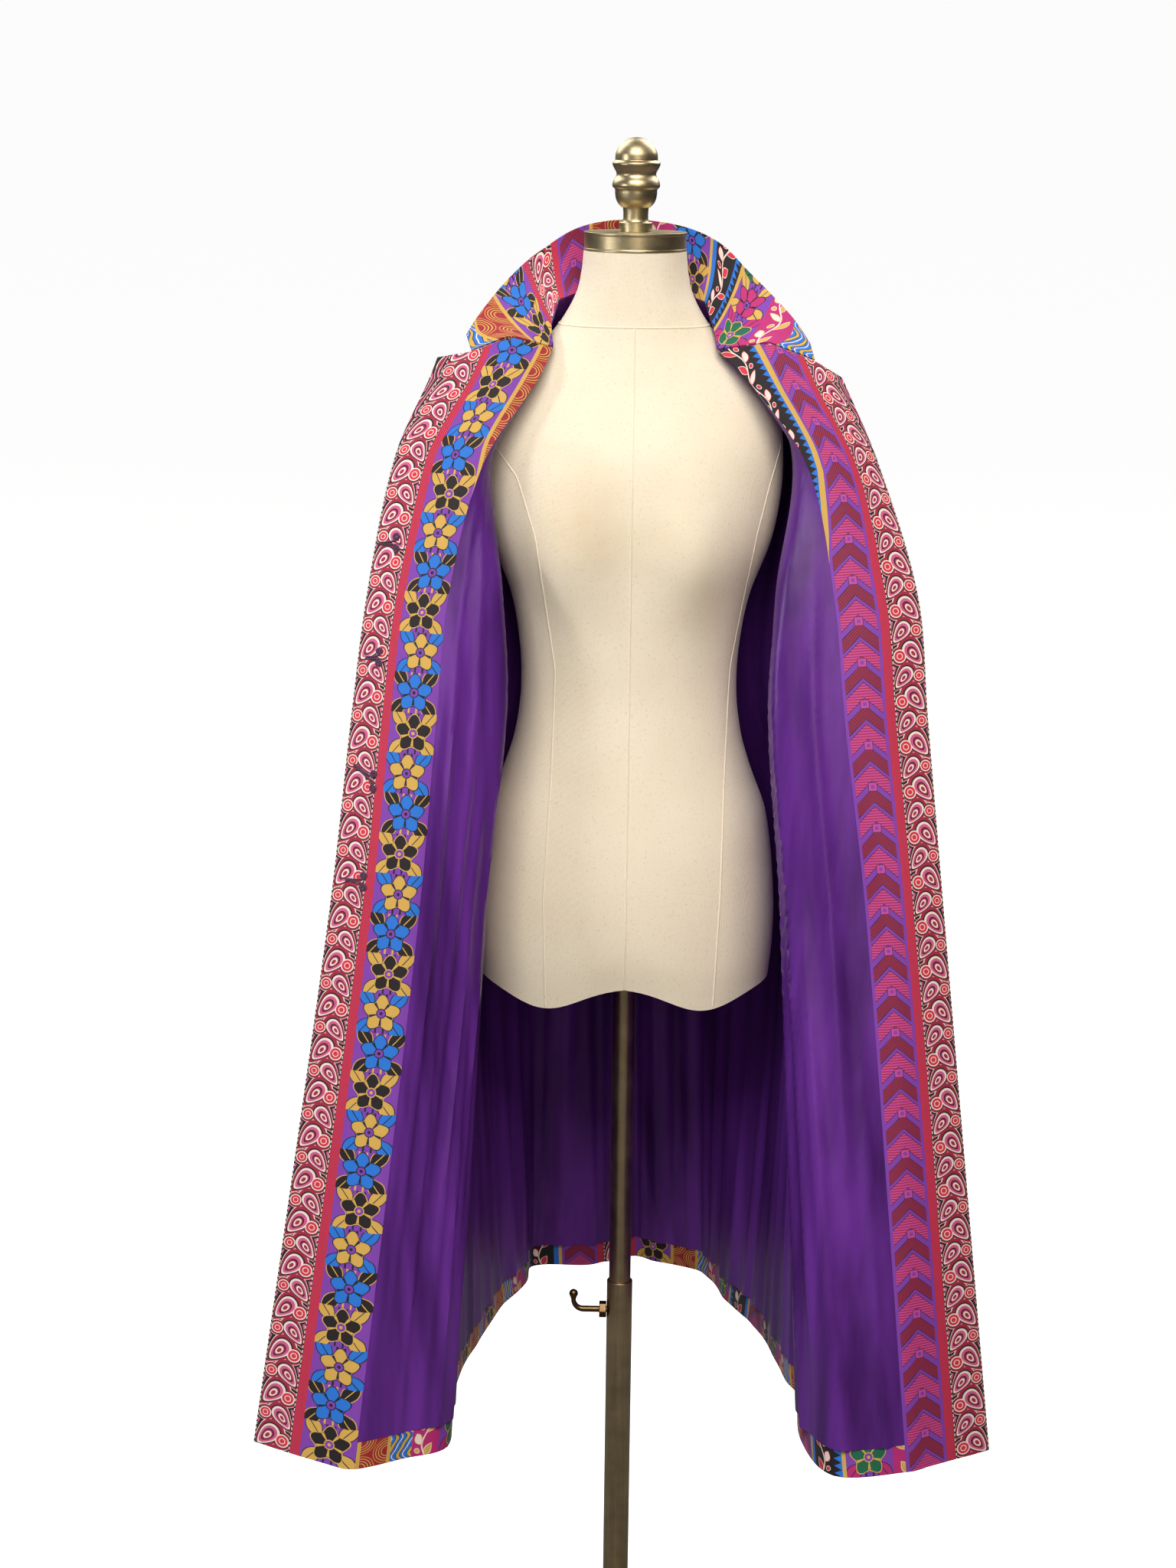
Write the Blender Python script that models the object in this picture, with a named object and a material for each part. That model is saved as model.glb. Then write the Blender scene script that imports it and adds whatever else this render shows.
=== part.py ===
"""Long brocade coat, worn open on a limbless dress form with a stand.

Metres, +Z up.  The origin is the centre of the base's underside and the
pole stands on the Z axis.  The front faces -Y, so the wearer's right side
lies towards -X.  The wearer's right and left name every paired piece.
"""
import math

import bmesh
import bpy
import numpy as np
from mathutils import Matrix, Vector

# Clearances and cloth
GAP = 0.0003            # between two pieces that meet
SHELL = 0.0014          # brocade with its interlining
INNER = 0.0011          # lining or facing
COLLAR_CLOTH = 0.0026   # upper collar, canvas and under collar together
SEAM_PULL = 0.0002      # each panel's edge, back from a seam
MITRE_LIMIT = 0.75      # sharper folds than this cosine get a thinner wall
SMALL_AREA = 3e-5       # smaller faces than this count for less in a normal
SLIVER_SHARE = 0.06     # a quad whose smaller half is under this share is split the other way

# Stand
BASE_RADIUS = 0.195
BASE_RIM = 0.008
BOSS_RADIUS = 0.030
BOSS_TOP = 0.050
SOCKET_FLOOR = 0.012
TUBE_OUTER = 0.0142
TUBE_INNER = 0.0128
TUBE_TOP = 0.475
POLE_RADIUS = 0.0120
POLE_BOTTOM = 0.232
SCREW_Z = 0.440
SCREW_RADIUS = 0.0035
NUT_ACROSS_CORNERS = 0.019
NUT_THICK = 0.008
ARM_OUT = 0.037         # the arm's ball, out from the tube
ARM_UP = 0.018          # and above the screw
BALL_RADIUS = 0.005

# Dress form
FORM_BOTTOM = 0.840
LOBE_DROP = 0.026       # how far the two lobes hang below the middle
LOBE_X = 0.085
LOBE_FADE = 0.075       # the lobes' shape is gone this far up
NECK_TOP = 1.606
CAP_RADIUS = 0.053
CAP_HEIGHT = 0.0195
BORE_RADIUS = 0.0130
BORE_DEPTH = 0.070
FORM_EXPONENT = 2.3     # 2 is an ellipse, more is squarer
BUST_X = 0.068
BUST_Z = 1.300
BUST_RISE = 0.016

# Heights of the coat's sections
HEM_Z = 0.386
HIP_Z = 0.945
WAIST_Z = 1.150
CHEST_Z = 1.270
BUST_Z_SECTION = 1.400
YOKE_Z = 1.480
HEM_FACING = 0.028      # how much of the hem's facing shows
SPLIT = 2               # columns of faces between two stations
LOWER_ROWS = (HEM_Z, HEM_Z + HEM_FACING, 0.500, 0.620, 0.730, 0.840, HIP_Z, 1.050, WAIST_Z, CHEST_Z)
UPPER_ROWS = 6          # rows above the chest, spread evenly up to each column's top
LEAN_HEIGHT = 1.160     # the coat hangs a little askew on the form: level here,
LEAN_BELOW = 0.0135     # further to its left by this share of the way down,
LEAN_ABOVE = 0.0070     # and to its right by this share of the way up

# Sleeves hang straight down behind the fronts
CUFF_Z = 0.900
ELBOW_Z = 1.190
SLEEVE_X = 0.221
SLEEVE_Y = 0.040
SLEEVE_HALF_X = 0.034
SLEEVE_HALF_Y = 0.060
SLEEVE_RINGS = 5
SLEEVE_CLEAR = 0.0014   # the sleeve's seam, out from the panels
SLEEVE_TUCK = 0.0008    # and inside the armhole's edge

# The form's sections: height, half width, front depth, back depth
FORM_SECTIONS = (
    (FORM_BOTTOM, 0.1560, 0.090, 0.120),
    (0.875, 0.1595, 0.097, 0.125),
    (0.920, 0.1600, 0.100, 0.126),
    (0.980, 0.1550, 0.098, 0.120),
    (1.020, 0.1480, 0.094, 0.112),
    (1.060, 0.1330, 0.090, 0.102),
    (1.100, 0.1210, 0.087, 0.094),
    (1.146, 0.1150, 0.085, 0.088),
    (1.195, 0.1165, 0.088, 0.089),
    (1.250, 0.1260, 0.093, 0.092),
    (1.310, 0.1480, 0.099, 0.097),
    (1.360, 0.1570, 0.100, 0.099),
    (1.400, 0.1580, 0.095, 0.098),
    (1.440, 0.1540, 0.079, 0.091),
    (1.466, 0.1430, 0.067, 0.082),
    (1.488, 0.1240, 0.059, 0.074),
    (1.508, 0.1000, 0.053, 0.067),
    (1.532, 0.0780, 0.050, 0.061),
    (1.562, 0.0610, 0.050, 0.056),
    (1.585, 0.0555, 0.051, 0.054),
    (NECK_TOP, 0.0535, 0.0525, 0.0535),
)
FORM_SIDES = 36
BORE_RINGS = 3

# Stations round the coat, from the wearer's right front edge round the back
# to the left front edge.  Each has x, y at hem, hip, waist, chest, bust and
# yoke, as far up as it reaches, and then its top point x, y, z.
STATIONS = {
    "right_edge": ((-.390, -.240), (-.305, -.190), (-.281, -.150), (-.266, -.120),
                   (-.240, -.080), (-.205, -.060), (-.198, -.056, 1.499)),
    "right_notch": ((-.335, -.276), (-.259, -.203), (-.238, -.163), (-.224, -.133),
                    (-.196, -.097), (-.164, -.068), (-.163, -.056, 1.505)),
    "right_gorge": ((-.308, -.291), (-.236, -.207), (-.216, -.167), (-.203, -.138),
                    (-.173, -.103), (-.128, -.076), (-.124, -.054, 1.520)),
    "right_seam": ((-.280, -.302), (-.213, -.206), (-.194, -.166), (-.1825, -.136),
                   (-.148, -.104), (-.095, -.070), (-.081, -.046, 1.509)),
    "right_ridge": ((-.232, -.275), (-.180, -.176), (-.158, -.150), (-.154, -.132),
                    (-.142, -.093), (-.098, -.050), (-.0835, -.018, 1.532)),
    "right_fold": ((-.188, -.245), (-.150, -.142), (-.126, -.128), (-.130, -.120),
                   (-.143, -.077), (-.120, -.038), (-.0770, .014, 1.553)),
    "right_breast": ((-.189, -.155), (-.172, -.092), (-.146, -.090), (-.148, -.082),
                     (-.156, -.064), (-.150, -.026), (-.1225, .018, 1.4881)),
    "right_tip_front": ((-.187, -.078), (-.180, -.042), (-.154, -.048), (-.160, -.047),
                        (-.171, -.046), None, (-.190, .014, 1.4620)),
    "right_armhole_front": ((-.180, -.012), (-.183, .000), (-.157, -.010), (-.165, -.012),
                            None, None, (-.178, -.008, 1.366)),
    "right_side": ((-.166, .050), (-.178, .045), (-.155, .024), (-.166, .018),
                   None, None, (-.172, .018, 1.302)),
    "right_armhole_back": ((-.146, .128), (-.164, .092), (-.143, .052), (-.158, .046),
                           None, None, (-.178, .046, 1.374)),
    "right_tip_back": ((-.122, .205), (-.138, .140), (-.118, .086), (-.138, .080),
                       (-.164, .080), None, (-.190, .0145, 1.4620)),
    "right_shoulder_back": ((-.116, .262), (-.100, .172), (-.088, .110), (-.102, .108),
                            (-.118, .108), (-.128, .078), (-.1225, .0185, 1.4881)),
    "right_neck_back": ((-.052, .263), (-.052, .187), (-.046, .122), (-.053, .122),
                        (-.066, .121), (-.080, .092), (-.0770, .0145, 1.553)),
    "right_nape": ((-.022, .276), (-.024, .197), (-.022, .127), (-.025, .128),
                   (-.032, .128), (-.044, .106), (-.0520, .052, 1.560)),
    "nape": ((.008, .297), (.004, .204), (.000, .128), (.000, .130),
             (.000, .131), (.000, .112), (.0000, .068, 1.562)),
    "left_nape": ((.042, .277), (.032, .195), (.022, .127), (.025, .128),
                  (.032, .128), (.044, .106), (.0520, .052, 1.560)),
    "left_neck_back": ((.078, .254), (.062, .184), (.046, .122), (.053, .122),
                       (.066, .121), (.080, .092), (.0770, .0145, 1.553)),
    "left_shoulder_back": ((.101, .218), (.104, .166), (.088, .110), (.102, .108),
                           (.118, .108), (.128, .078), (.1250, .0185, 1.4898)),
    "left_tip_back": ((.117, .160), (.140, .134), (.118, .086), (.138, .080),
                      (.164, .080), None, (.190, .0145, 1.4620)),
    "left_armhole_back": ((.134, .108), (.164, .090), (.143, .052), (.158, .046),
                          None, None, (.178, .046, 1.374)),
    "left_side": ((.153, .060), (.178, .045), (.157, .024), (.167, .018),
                  None, None, (.172, .018, 1.302)),
    "left_armhole_front": ((.166, .002), (.184, .000), (.160, -.010), (.167, -.012),
                           None, None, (.178, -.008, 1.366)),
    "left_tip_front": ((.174, -.063), (.182, -.042), (.161, -.048), (.165, -.047),
                       (.173, -.046), None, (.190, .014, 1.4620)),
    "left_breast": ((.184, -.108), (.180, -.094), (.160, -.090), (.159, -.084),
                    (.168, -.062), (.152, -.028), (.1250, .018, 1.4898)),
    "left_fold": ((.183, -.212), (.166, -.150), (.148, -.130), (.150, -.116),
                  (.167, -.078), (.136, -.036), (.0770, .014, 1.553)),
    "left_ridge": ((.212, -.297), (.174, -.192), (.155, -.160), (.160, -.136),
                   (.171, -.091), (.121, -.048), (.0840, -.018, 1.532)),
    "left_seam": ((.287, -.2855), (.2425, -.196), (.2187, -.165), (.207, -.136),
                  (.179, -.100), (.121, -.068), (.0890, -.046, 1.509)),
    "left_gorge": ((.310, -.272), (.262, -.202), (.239, -.166), (.228, -.137),
                   (.199, -.102), (.150, -.074), (.140, -.054, 1.517)),
    "left_notch": ((.3435, -.252), (.289, -.198), (.267, -.160), (.256, -.132),
                   (.224, -.094), (.186, -.068), (.187, -.056, 1.500)),
    "left_edge": ((.378, -.229), (.3225, -.185), (.3040, -.147), (.2930, -.118),
                  (.2520, -.080), None, (.2150, -.058, 1.484)),
}
NAMES = list(STATIONS)
SECTION_HEIGHTS = (HEM_Z, HIP_Z, WAIST_Z, CHEST_Z, BUST_Z_SECTION, YOKE_Z)

# The collar's outer edge over the neck edge's stations: x, y, z
COLLAR_EDGE = {
    "right_notch": (-.1690, -.046, 1.5215),
    "right_gorge": (-.1565, -.028, 1.5400),
    "right_seam": (-.1370, -.006, 1.5650),
    "right_ridge": (-.1170, .018, 1.5860),
    "right_fold": (-.0970, .040, 1.6020),
    "right_nape": (-.0560, .072, 1.6260),
    "nape": (-.0030, .086, 1.6340),
    "left_nape": (.0540, .072, 1.6280),
    "left_fold": (.0930, .042, 1.6120),
    "left_ridge": (.1200, .018, 1.5860),
    "left_seam": (.1430, -.006, 1.5640),
    "left_gorge": (.1660, -.028, 1.5400),
    "left_notch": (.1830, -.045, 1.5160),
}
COLLAR_ROWS = 4
COLLAR_SWELL = 0.006    # how far the collar bows away from a straight slope
COLLAR_NOTCH_LIFT = 0.0008  # the collar's lower edge over the lapels' tops
COLLAR_NECK_LIFT = 0.0034   # and more of it round the neck, where it turns up

# Frogs on the right facing: height, share of the cloth's width from edge to seam,
# tail length, tail tilt in degrees
FROGS = (
    (1.316, 0.300, 0.018, 0.0),
    (1.208, 0.305, 0.013, -5.0),
    (1.092, 0.315, 0.0205, 36.0),
    (0.984, 0.330, 0.018, 2.0),
)
FROG_HALF_PITCH = (0.0063, 0.0060, 0.0074, 0.0060)
FROG_DISC = 0.0045
FROG_CORD = 0.0020
FROG_TAIL_SHARE = 0.75  # the tail's half width as a share of the cord's opening
FROG_THICK = 0.0032
FROG_ARC_STEPS = 9


def clear_scene():
    """Start from an empty file."""
    for old in list(bpy.data.objects):
        bpy.data.objects.remove(old, do_unlink=True)


def material(name, colour, roughness, metallic=0.0):
    """Return a plain Principled material."""
    made = bpy.data.materials.new(name)
    made.use_nodes = True
    shader = made.node_tree.nodes["Principled BSDF"]
    shader.inputs["Base Color"].default_value = (*colour, 1.0)
    shader.inputs["Roughness"].default_value = roughness
    shader.inputs["Metallic"].default_value = metallic
    made.diffuse_color = (*colour, 1.0)
    return made


def finish(name, bm, finish_material):
    """Turn a bmesh into a named object with outward faces."""
    bmesh.ops.recalc_face_normals(bm, faces=bm.faces[:])
    mesh = bpy.data.meshes.new(name)
    bm.to_mesh(mesh)
    bm.free()
    mesh.shade_smooth()
    mesh.set_sharp_from_angle(angle=math.radians(35))
    mesh.materials.append(finish_material)
    made = bpy.data.objects.new(name, mesh)
    bpy.context.scene.collection.objects.link(made)
    return made


def lathe(name, profile, sides, finish_material):
    """Spin a profile of (radius, height) points round the Z axis."""
    bm = bmesh.new()
    points = [bm.verts.new((radius, 0.0, height)) for radius, height in profile]
    edges = [bm.edges.new(pair) for pair in zip(points, points[1:])]
    if profile[0][0] > 0.0:
        edges.append(bm.edges.new((points[-1], points[0])))
    bmesh.ops.spin(
        bm, geom=points + edges, cent=(0, 0, 0), axis=(0, 0, 1),
        angle=math.tau, steps=sides, use_merge=True)
    bmesh.ops.remove_doubles(bm, verts=bm.verts[:], dist=1e-6)
    return finish(name, bm, finish_material)


def ring_skin(name, rings, finish_material):
    """Join closed rings of equal length and cap both ends with a fan."""
    bm = bmesh.new()
    made = [[bm.verts.new(point) for point in ring] for ring in rings]
    count = len(rings[0])
    for lower, upper in zip(made, made[1:]):
        for i in range(count):
            j = (i + 1) % count
            bm.faces.new((lower[i], lower[j], upper[j], upper[i]))
    for end in (made[0], made[-1]):
        bm.faces.new(end)
    bmesh.ops.triangulate(bm, faces=[f for f in bm.faces if len(f.verts) > 4])
    return finish(name, bm, finish_material)


def sweep(name, path, radii, sides, finish_material):
    """Carry a circle along a path in the XZ plane, with a radius at each point."""
    rings = []
    path = [Vector(point) for point in path]
    for i, point in enumerate(path):
        ahead = path[min(i + 1, len(path) - 1)] - path[max(i - 1, 0)]
        ahead.normalize()
        across = Vector((0, 1, 0))
        upward = ahead.cross(across)
        rings.append([
            point + radii[i] * (math.cos(a) * across + math.sin(a) * upward)
            for a in (math.tau * k / sides for k in range(sides))])
    return ring_skin(name, rings, finish_material)


def catmull(before, start, end, after, t):
    """Catmull-Rom point between start and end."""
    return 0.5 * (
        2 * start + (end - before) * t
        + (2 * before - 5 * start + 4 * end - after) * t ** 2
        + (3 * start - before - 3 * end + after) * t ** 3)


def smooth_track(heights, points, height):
    """Point at a height on a soft curve through points that rise."""
    last = len(heights) - 2
    k = min(max(int(np.searchsorted(heights, height)) - 1, 0), last)
    span = heights[k + 1] - heights[k]
    t = (height - heights[k]) / span

    def slope(i):
        """Finite-difference slope at a knot, one-sided at the ends."""
        low = max(i - 1, 0)
        high = min(i + 1, len(heights) - 1)
        return (points[high] - points[low]) / (heights[high] - heights[low])

    h1 = 2 * t ** 3 - 3 * t ** 2 + 1
    h2 = t ** 3 - 2 * t ** 2 + t
    h3 = -2 * t ** 3 + 3 * t ** 2
    h4 = t ** 3 - t ** 2
    return (h1 * points[k] + h2 * span * slope(k)
            + h3 * points[k + 1] + h4 * span * slope(k + 1))


def leaned(x, y, z):
    """A point of the coat's tables, moved as the coat hangs."""
    share = LEAN_BELOW if z < LEAN_HEIGHT else LEAN_ABOVE
    return np.array((x + share * (LEAN_HEIGHT - z), y, z))


def station_column(name):
    """The points of one station, hem to top, on the coat's rows."""
    *sections, top = STATIONS[name]
    knots = [
        (height, leaned(*section, height))
        for height, section in zip(SECTION_HEIGHTS, sections) if section is not None]
    knots.append((top[2], leaned(*top)))
    heights = [height for height, _ in knots]
    points = [point for _, point in knots]
    column = [smooth_track(heights, points, height) for height in LOWER_ROWS]
    fine = [
        smooth_track(heights, points, CHEST_Z + (top[2] - CHEST_Z) * k / 60)
        for k in range(61)]
    steps = [np.linalg.norm(b - a) for a, b in zip(fine, fine[1:])]
    along = np.concatenate(([0.0], np.cumsum(steps)))
    for k in range(1, UPPER_ROWS + 1):
        place = along[-1] * k / UPPER_ROWS
        column.append(np.array([np.interp(place, along, [p[i] for p in fine]) for i in range(3)]))
    return np.array(column)


def coat_surface():
    """The coat's middle surface as points[column, row]."""
    stations = [station_column(name) for name in NAMES]
    rows = len(stations[0])
    softness = np.ones(rows)
    softness[-UPPER_ROWS:] = np.linspace(0.75, 0.0, UPPER_ROWS)
    columns = []
    for i, start in enumerate(stations[:-1]):
        end = stations[i + 1]
        before = stations[i - 1] if i > 0 else 2 * start - end
        after = stations[i + 2] if i + 2 < len(stations) else 2 * end - start
        for k in range(SPLIT):
            t = k / SPLIT
            straight = start + (end - start) * t
            curved = catmull(before, start, end, after, t)
            columns.append(straight + (curved - straight) * softness[:, None])
    columns.append(stations[-1])
    return np.array(columns)


def outward_normals(points):
    """Unit outward normals, lengthened at corners so that offsets stay parallel."""
    across = points[1:] - points[:-1]
    upward = points[:, 1:] - points[:, :-1]
    areas = np.cross(upward[:-1] + upward[1:], across[:, :-1] + across[:, 1:]) / 4
    columns, rows = points.shape[:2]
    result = np.zeros_like(points)
    for c in range(columns):
        for r in range(rows):
            near = areas[max(c - 1, 0):c + 1, max(r - 1, 0):r + 1]
            sides = near.sum(axis=1)
            sizes = np.linalg.norm(sides, axis=1, keepdims=True)
            sides /= np.maximum(sizes, SMALL_AREA)
            mean = sides.sum(axis=0)
            spread = np.linalg.norm(mean) / np.linalg.norm(sides, axis=1).sum()
            result[c, r] = mean / np.linalg.norm(mean) / max(spread, MITRE_LIMIT)
    soft = result.copy()
    soft[:, 1:-1] = (result[:, :-2] + 2 * result[:, 1:-1] + result[:, 2:]) / 4
    return soft


def turned_quads(points):
    """Which of a grid's quads are split along their other diagonal, to stay unfolded."""
    a = points[:-1, :-1]
    b = points[1:, :-1]
    c = points[1:, 1:]
    d = points[:-1, 1:]
    whole = np.cross(c - a, d - b)

    def least(first, second):
        """The smaller of two triangles, seen along the quad's own normal."""
        return np.minimum((first * whole).sum(axis=2), (second * whole).sum(axis=2))

    usual = least(np.cross(b - a, c - a), np.cross(c - a, d - a))
    other = least(np.cross(b - a, d - a), np.cross(c - b, d - b))
    size = (whole * whole).sum(axis=2)
    return (usual < SLIVER_SHARE * size) & (other > usual)


def column_of(name):
    """Column of a station in the coat's surface."""
    return NAMES.index(name) * SPLIT


def mitre_shoulders(normals):
    """Give the fronts and the back one normal at each point of a shoulder seam."""
    for side, step in (("right", 1), ("left", -1)):
        front = column_of(side + "_fold")
        back = column_of(side + "_neck_back")
        for k in range(2 * SPLIT + 1):
            f = front + step * k
            b = back - step * k
            mean = normals[f, -1] + normals[b, -1]
            mean /= np.linalg.norm(mean)
            unit = normals[f, -1] / np.linalg.norm(normals[f, -1])
            normals[f, -1] = normals[b, -1] = mean / max(float(unit @ mean), MITRE_LIMIT)


def pull_edges(points, right=0.0, left=0.0, bottom=0.0, top=0.0):
    """Move a grid's edge points inwards along the grid."""
    made = points.copy()

    def pull(edge, inner, distance):
        """Shorten the way from an inner line of points to the edge."""
        away = inner - edge
        return edge + away / np.linalg.norm(away, axis=1, keepdims=True) * distance

    if right:
        made[0] = pull(made[0], made[1], right)
    if left:
        made[-1] = pull(made[-1], made[-2], left)
    if bottom:
        made[:, 0] = pull(made[:, 0], made[:, 1], bottom)
    if top:
        made[:, -1] = pull(made[:, -1], made[:, -2], top)
    return made


def wall(name, points, normals, turned, inner, outer, finish_material, closed=False):
    """A cloth wall between two offsets of a grid of points."""
    columns, rows = points.shape[:2]
    bm = bmesh.new()
    column_tag = bm.verts.layers.int.new("column")
    row_tag = bm.verts.layers.int.new("row")
    bmesh.ops.create_grid(bm, x_segments=columns - 1, y_segments=rows - 1, size=1.0)
    for vert in bm.verts:
        column = round((vert.co.x + 1.0) / 2.0 * (columns - 1))
        row = round((vert.co.y + 1.0) / 2.0 * (rows - 1))
        vert[column_tag] = column
        vert[row_tag] = row
    for vert in bm.verts:
        place = (vert[column_tag], vert[row_tag])
        vert.co = points[place] + normals[place] * inner
    splits = {"FIXED": [], "ALTERNATE": []}
    for face in bm.faces:
        column = min(vert[column_tag] for vert in face.verts)
        row = min(vert[row_tag] for vert in face.verts)
        splits["ALTERNATE" if turned[column, row] else "FIXED"].append(face)
    for method, faces in splits.items():
        bmesh.ops.triangulate(bm, faces=faces, quad_method=method)
    if closed:
        bmesh.ops.remove_doubles(bm, verts=bm.verts[:], dist=1e-6)
    raised = bmesh.ops.extrude_face_region(bm, geom=bm.faces[:], use_keep_orig=True)["geom"]
    for vert in (item for item in raised if isinstance(item, bmesh.types.BMVert)):
        place = (vert[column_tag], vert[row_tag])
        vert.co += Vector(normals[place] * (outer - inner))
    return finish(name, bm, finish_material)


def form_section(height):
    """Half width, front depth and back depth of the form at a height."""
    heights = [row[0] for row in FORM_SECTIONS]
    sizes = [np.array(row[1:]) for row in FORM_SECTIONS]
    return smooth_track(heights, sizes, height)


def form_point(height, angle):
    """Point on the form's skin; angle 0 is +X and a quarter turn is -Y."""
    half_width, front, back = form_section(height)
    cosine = math.cos(angle)
    sine = math.sin(angle)
    power = 2.0 / FORM_EXPONENT
    x = half_width * math.copysign(abs(cosine) ** power, cosine)
    depth = front if sine > 0.0 else back
    y = -depth * math.copysign(abs(sine) ** power, sine)
    if sine > 0.0:
        bust = math.exp(-((abs(x) - BUST_X) / 0.045) ** 2 - ((height - BUST_Z) / 0.065) ** 2)
        y -= BUST_RISE * bust
    return np.array((x, y, height))


def lobe(x):
    """How far the form's lower edge hangs down at an x."""
    return LOBE_DROP * math.exp(-((abs(x) - LOBE_X) / 0.052) ** 2)


def make_torso(finish_material):
    """The form's body: a closed skin with a blind bore for the pole."""
    angles = [math.tau * k / FORM_SIDES for k in range(FORM_SIDES)]
    circle = [np.array((math.cos(a), -math.sin(a), 0.0)) for a in angles]
    rings = [[BORE_RADIUS * p + np.array((0, 0, FORM_BOTTOM + BORE_DEPTH)) for p in circle],
             [BORE_RADIUS * p + np.array((0, 0, FORM_BOTTOM)) for p in circle]]
    rim = [form_point(FORM_BOTTOM, a) for a in angles]
    collar_radius = 2.2 * BORE_RADIUS
    underside_share = 0.985
    for k in range(1, BORE_RINGS + 1):
        share = k / (BORE_RINGS + 1)
        ring = []
        for flat, edge in zip(circle, rim):
            place = flat * collar_radius * (1 - share) + edge * share * underside_share
            drop = lobe(place[0]) * min(1.0, share * 1.35)
            ring.append(np.array((place[0], place[1], FORM_BOTTOM - drop)))
        rings.append(ring)
    for height, *_ in FORM_SECTIONS:
        fade = max(0.0, 1.0 - (height - FORM_BOTTOM) / LOBE_FADE)
        ring = []
        for a in angles:
            place = form_point(height, a)
            place[2] -= lobe(place[0]) * fade
            ring.append(place)
        rings.append(ring)
    return ring_skin("torso", rings, finish_material)


def make_stand(brass, iron):
    """Base, tubes, nut and clamp screw."""
    lathe("base", (
        (0.0, 0.0), (BASE_RADIUS - 0.002, 0.0), (BASE_RADIUS, 0.002), (BASE_RADIUS, BASE_RIM),
        (BASE_RADIUS - 0.004, BASE_RIM + 0.004), (0.110, 0.0185), (0.050, 0.0245),
        (BOSS_RADIUS, 0.030), (BOSS_RADIUS - 0.003, BOSS_TOP - 0.004),
        (BOSS_RADIUS - 0.007, BOSS_TOP), (TUBE_OUTER + GAP, BOSS_TOP),
        (TUBE_OUTER + GAP, SOCKET_FLOOR), (0.0, SOCKET_FLOOR)), 40, iron)
    tube = lathe("outer_tube", (
        (TUBE_INNER, SOCKET_FLOOR + GAP), (TUBE_OUTER, SOCKET_FLOOR + GAP),
        (TUBE_OUTER, TUBE_TOP), (TUBE_INNER, TUBE_TOP)), 32, brass)
    lathe("inner_pole", (
        (0.0, POLE_BOTTOM), (POLE_RADIUS - 0.001, POLE_BOTTOM), (POLE_RADIUS, POLE_BOTTOM + 0.001),
        (POLE_RADIUS, FORM_BOTTOM + BORE_DEPTH - GAP - 0.001),
        (POLE_RADIUS - 0.001, FORM_BOTTOM + BORE_DEPTH - GAP),
        (0.0, FORM_BOTTOM + BORE_DEPTH - GAP)), 32, brass)

    drill = bmesh.new()
    bmesh.ops.create_cone(
        drill, cap_ends=True, segments=20, radius1=SCREW_RADIUS + GAP, radius2=SCREW_RADIUS + GAP,
        depth=0.014, matrix=Matrix.Translation((-TUBE_OUTER, 0, SCREW_Z)) @ Matrix.Rotation(math.pi / 2, 4, "Y"))
    cutter = finish("tube_drill", drill, brass)
    cutter.hide_render = True
    cutter.display_type = "WIRE"
    hole = tube.modifiers.new("screw hole", "BOOLEAN")
    hole.operation = "DIFFERENCE"
    hole.object = cutter

    nut_start = -(TUBE_OUTER + GAP)
    nut = bmesh.new()
    outer = []
    inner = []
    for k in range(12):
        a = math.tau * k / 12
        across = NUT_ACROSS_CORNERS / 2
        reach = across if k % 2 == 0 else across * math.cos(math.pi / 6)
        outer.append(nut.verts.new((nut_start, reach * math.cos(a), SCREW_Z + reach * math.sin(a))))
        bore = SCREW_RADIUS + GAP
        inner.append(nut.verts.new((nut_start, bore * math.cos(a), SCREW_Z + bore * math.sin(a))))
    for k in range(12):
        j = (k + 1) % 12
        nut.faces.new((outer[k], outer[j], inner[j], inner[k]))
    thick = bmesh.ops.extrude_face_region(nut, geom=nut.faces[:], use_keep_orig=True)["geom"]
    moved = [item for item in thick if isinstance(item, bmesh.types.BMVert)]
    bmesh.ops.translate(nut, verts=moved, vec=(-NUT_THICK, 0, 0))
    finish("clamp_nut", nut, brass)

    bend_radius = 0.011
    ball_x = -(TUBE_OUTER + ARM_OUT)
    bend_x = ball_x + bend_radius
    path = [(-(POLE_RADIUS + GAP), 0, SCREW_Z), (nut_start - NUT_THICK, 0, SCREW_Z)]
    radii = [SCREW_RADIUS, SCREW_RADIUS]
    for k in range(5):
        a = math.pi / 2 * k / 4
        path.append((bend_x - bend_radius * math.sin(a), 0, SCREW_Z + bend_radius * (1 - math.cos(a))))
        radii.append(SCREW_RADIUS * (1 - 0.06 * k))
    ball_z = SCREW_Z + ARM_UP
    for k in range(1, 7):
        a = math.pi * (0.24 + 0.72 * k / 6)
        path.append((ball_x, 0, ball_z - BALL_RADIUS * math.cos(a)))
        radii.append(BALL_RADIUS * math.sin(a))
    sweep("clamp_screw", path, radii, 12, brass)


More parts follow.
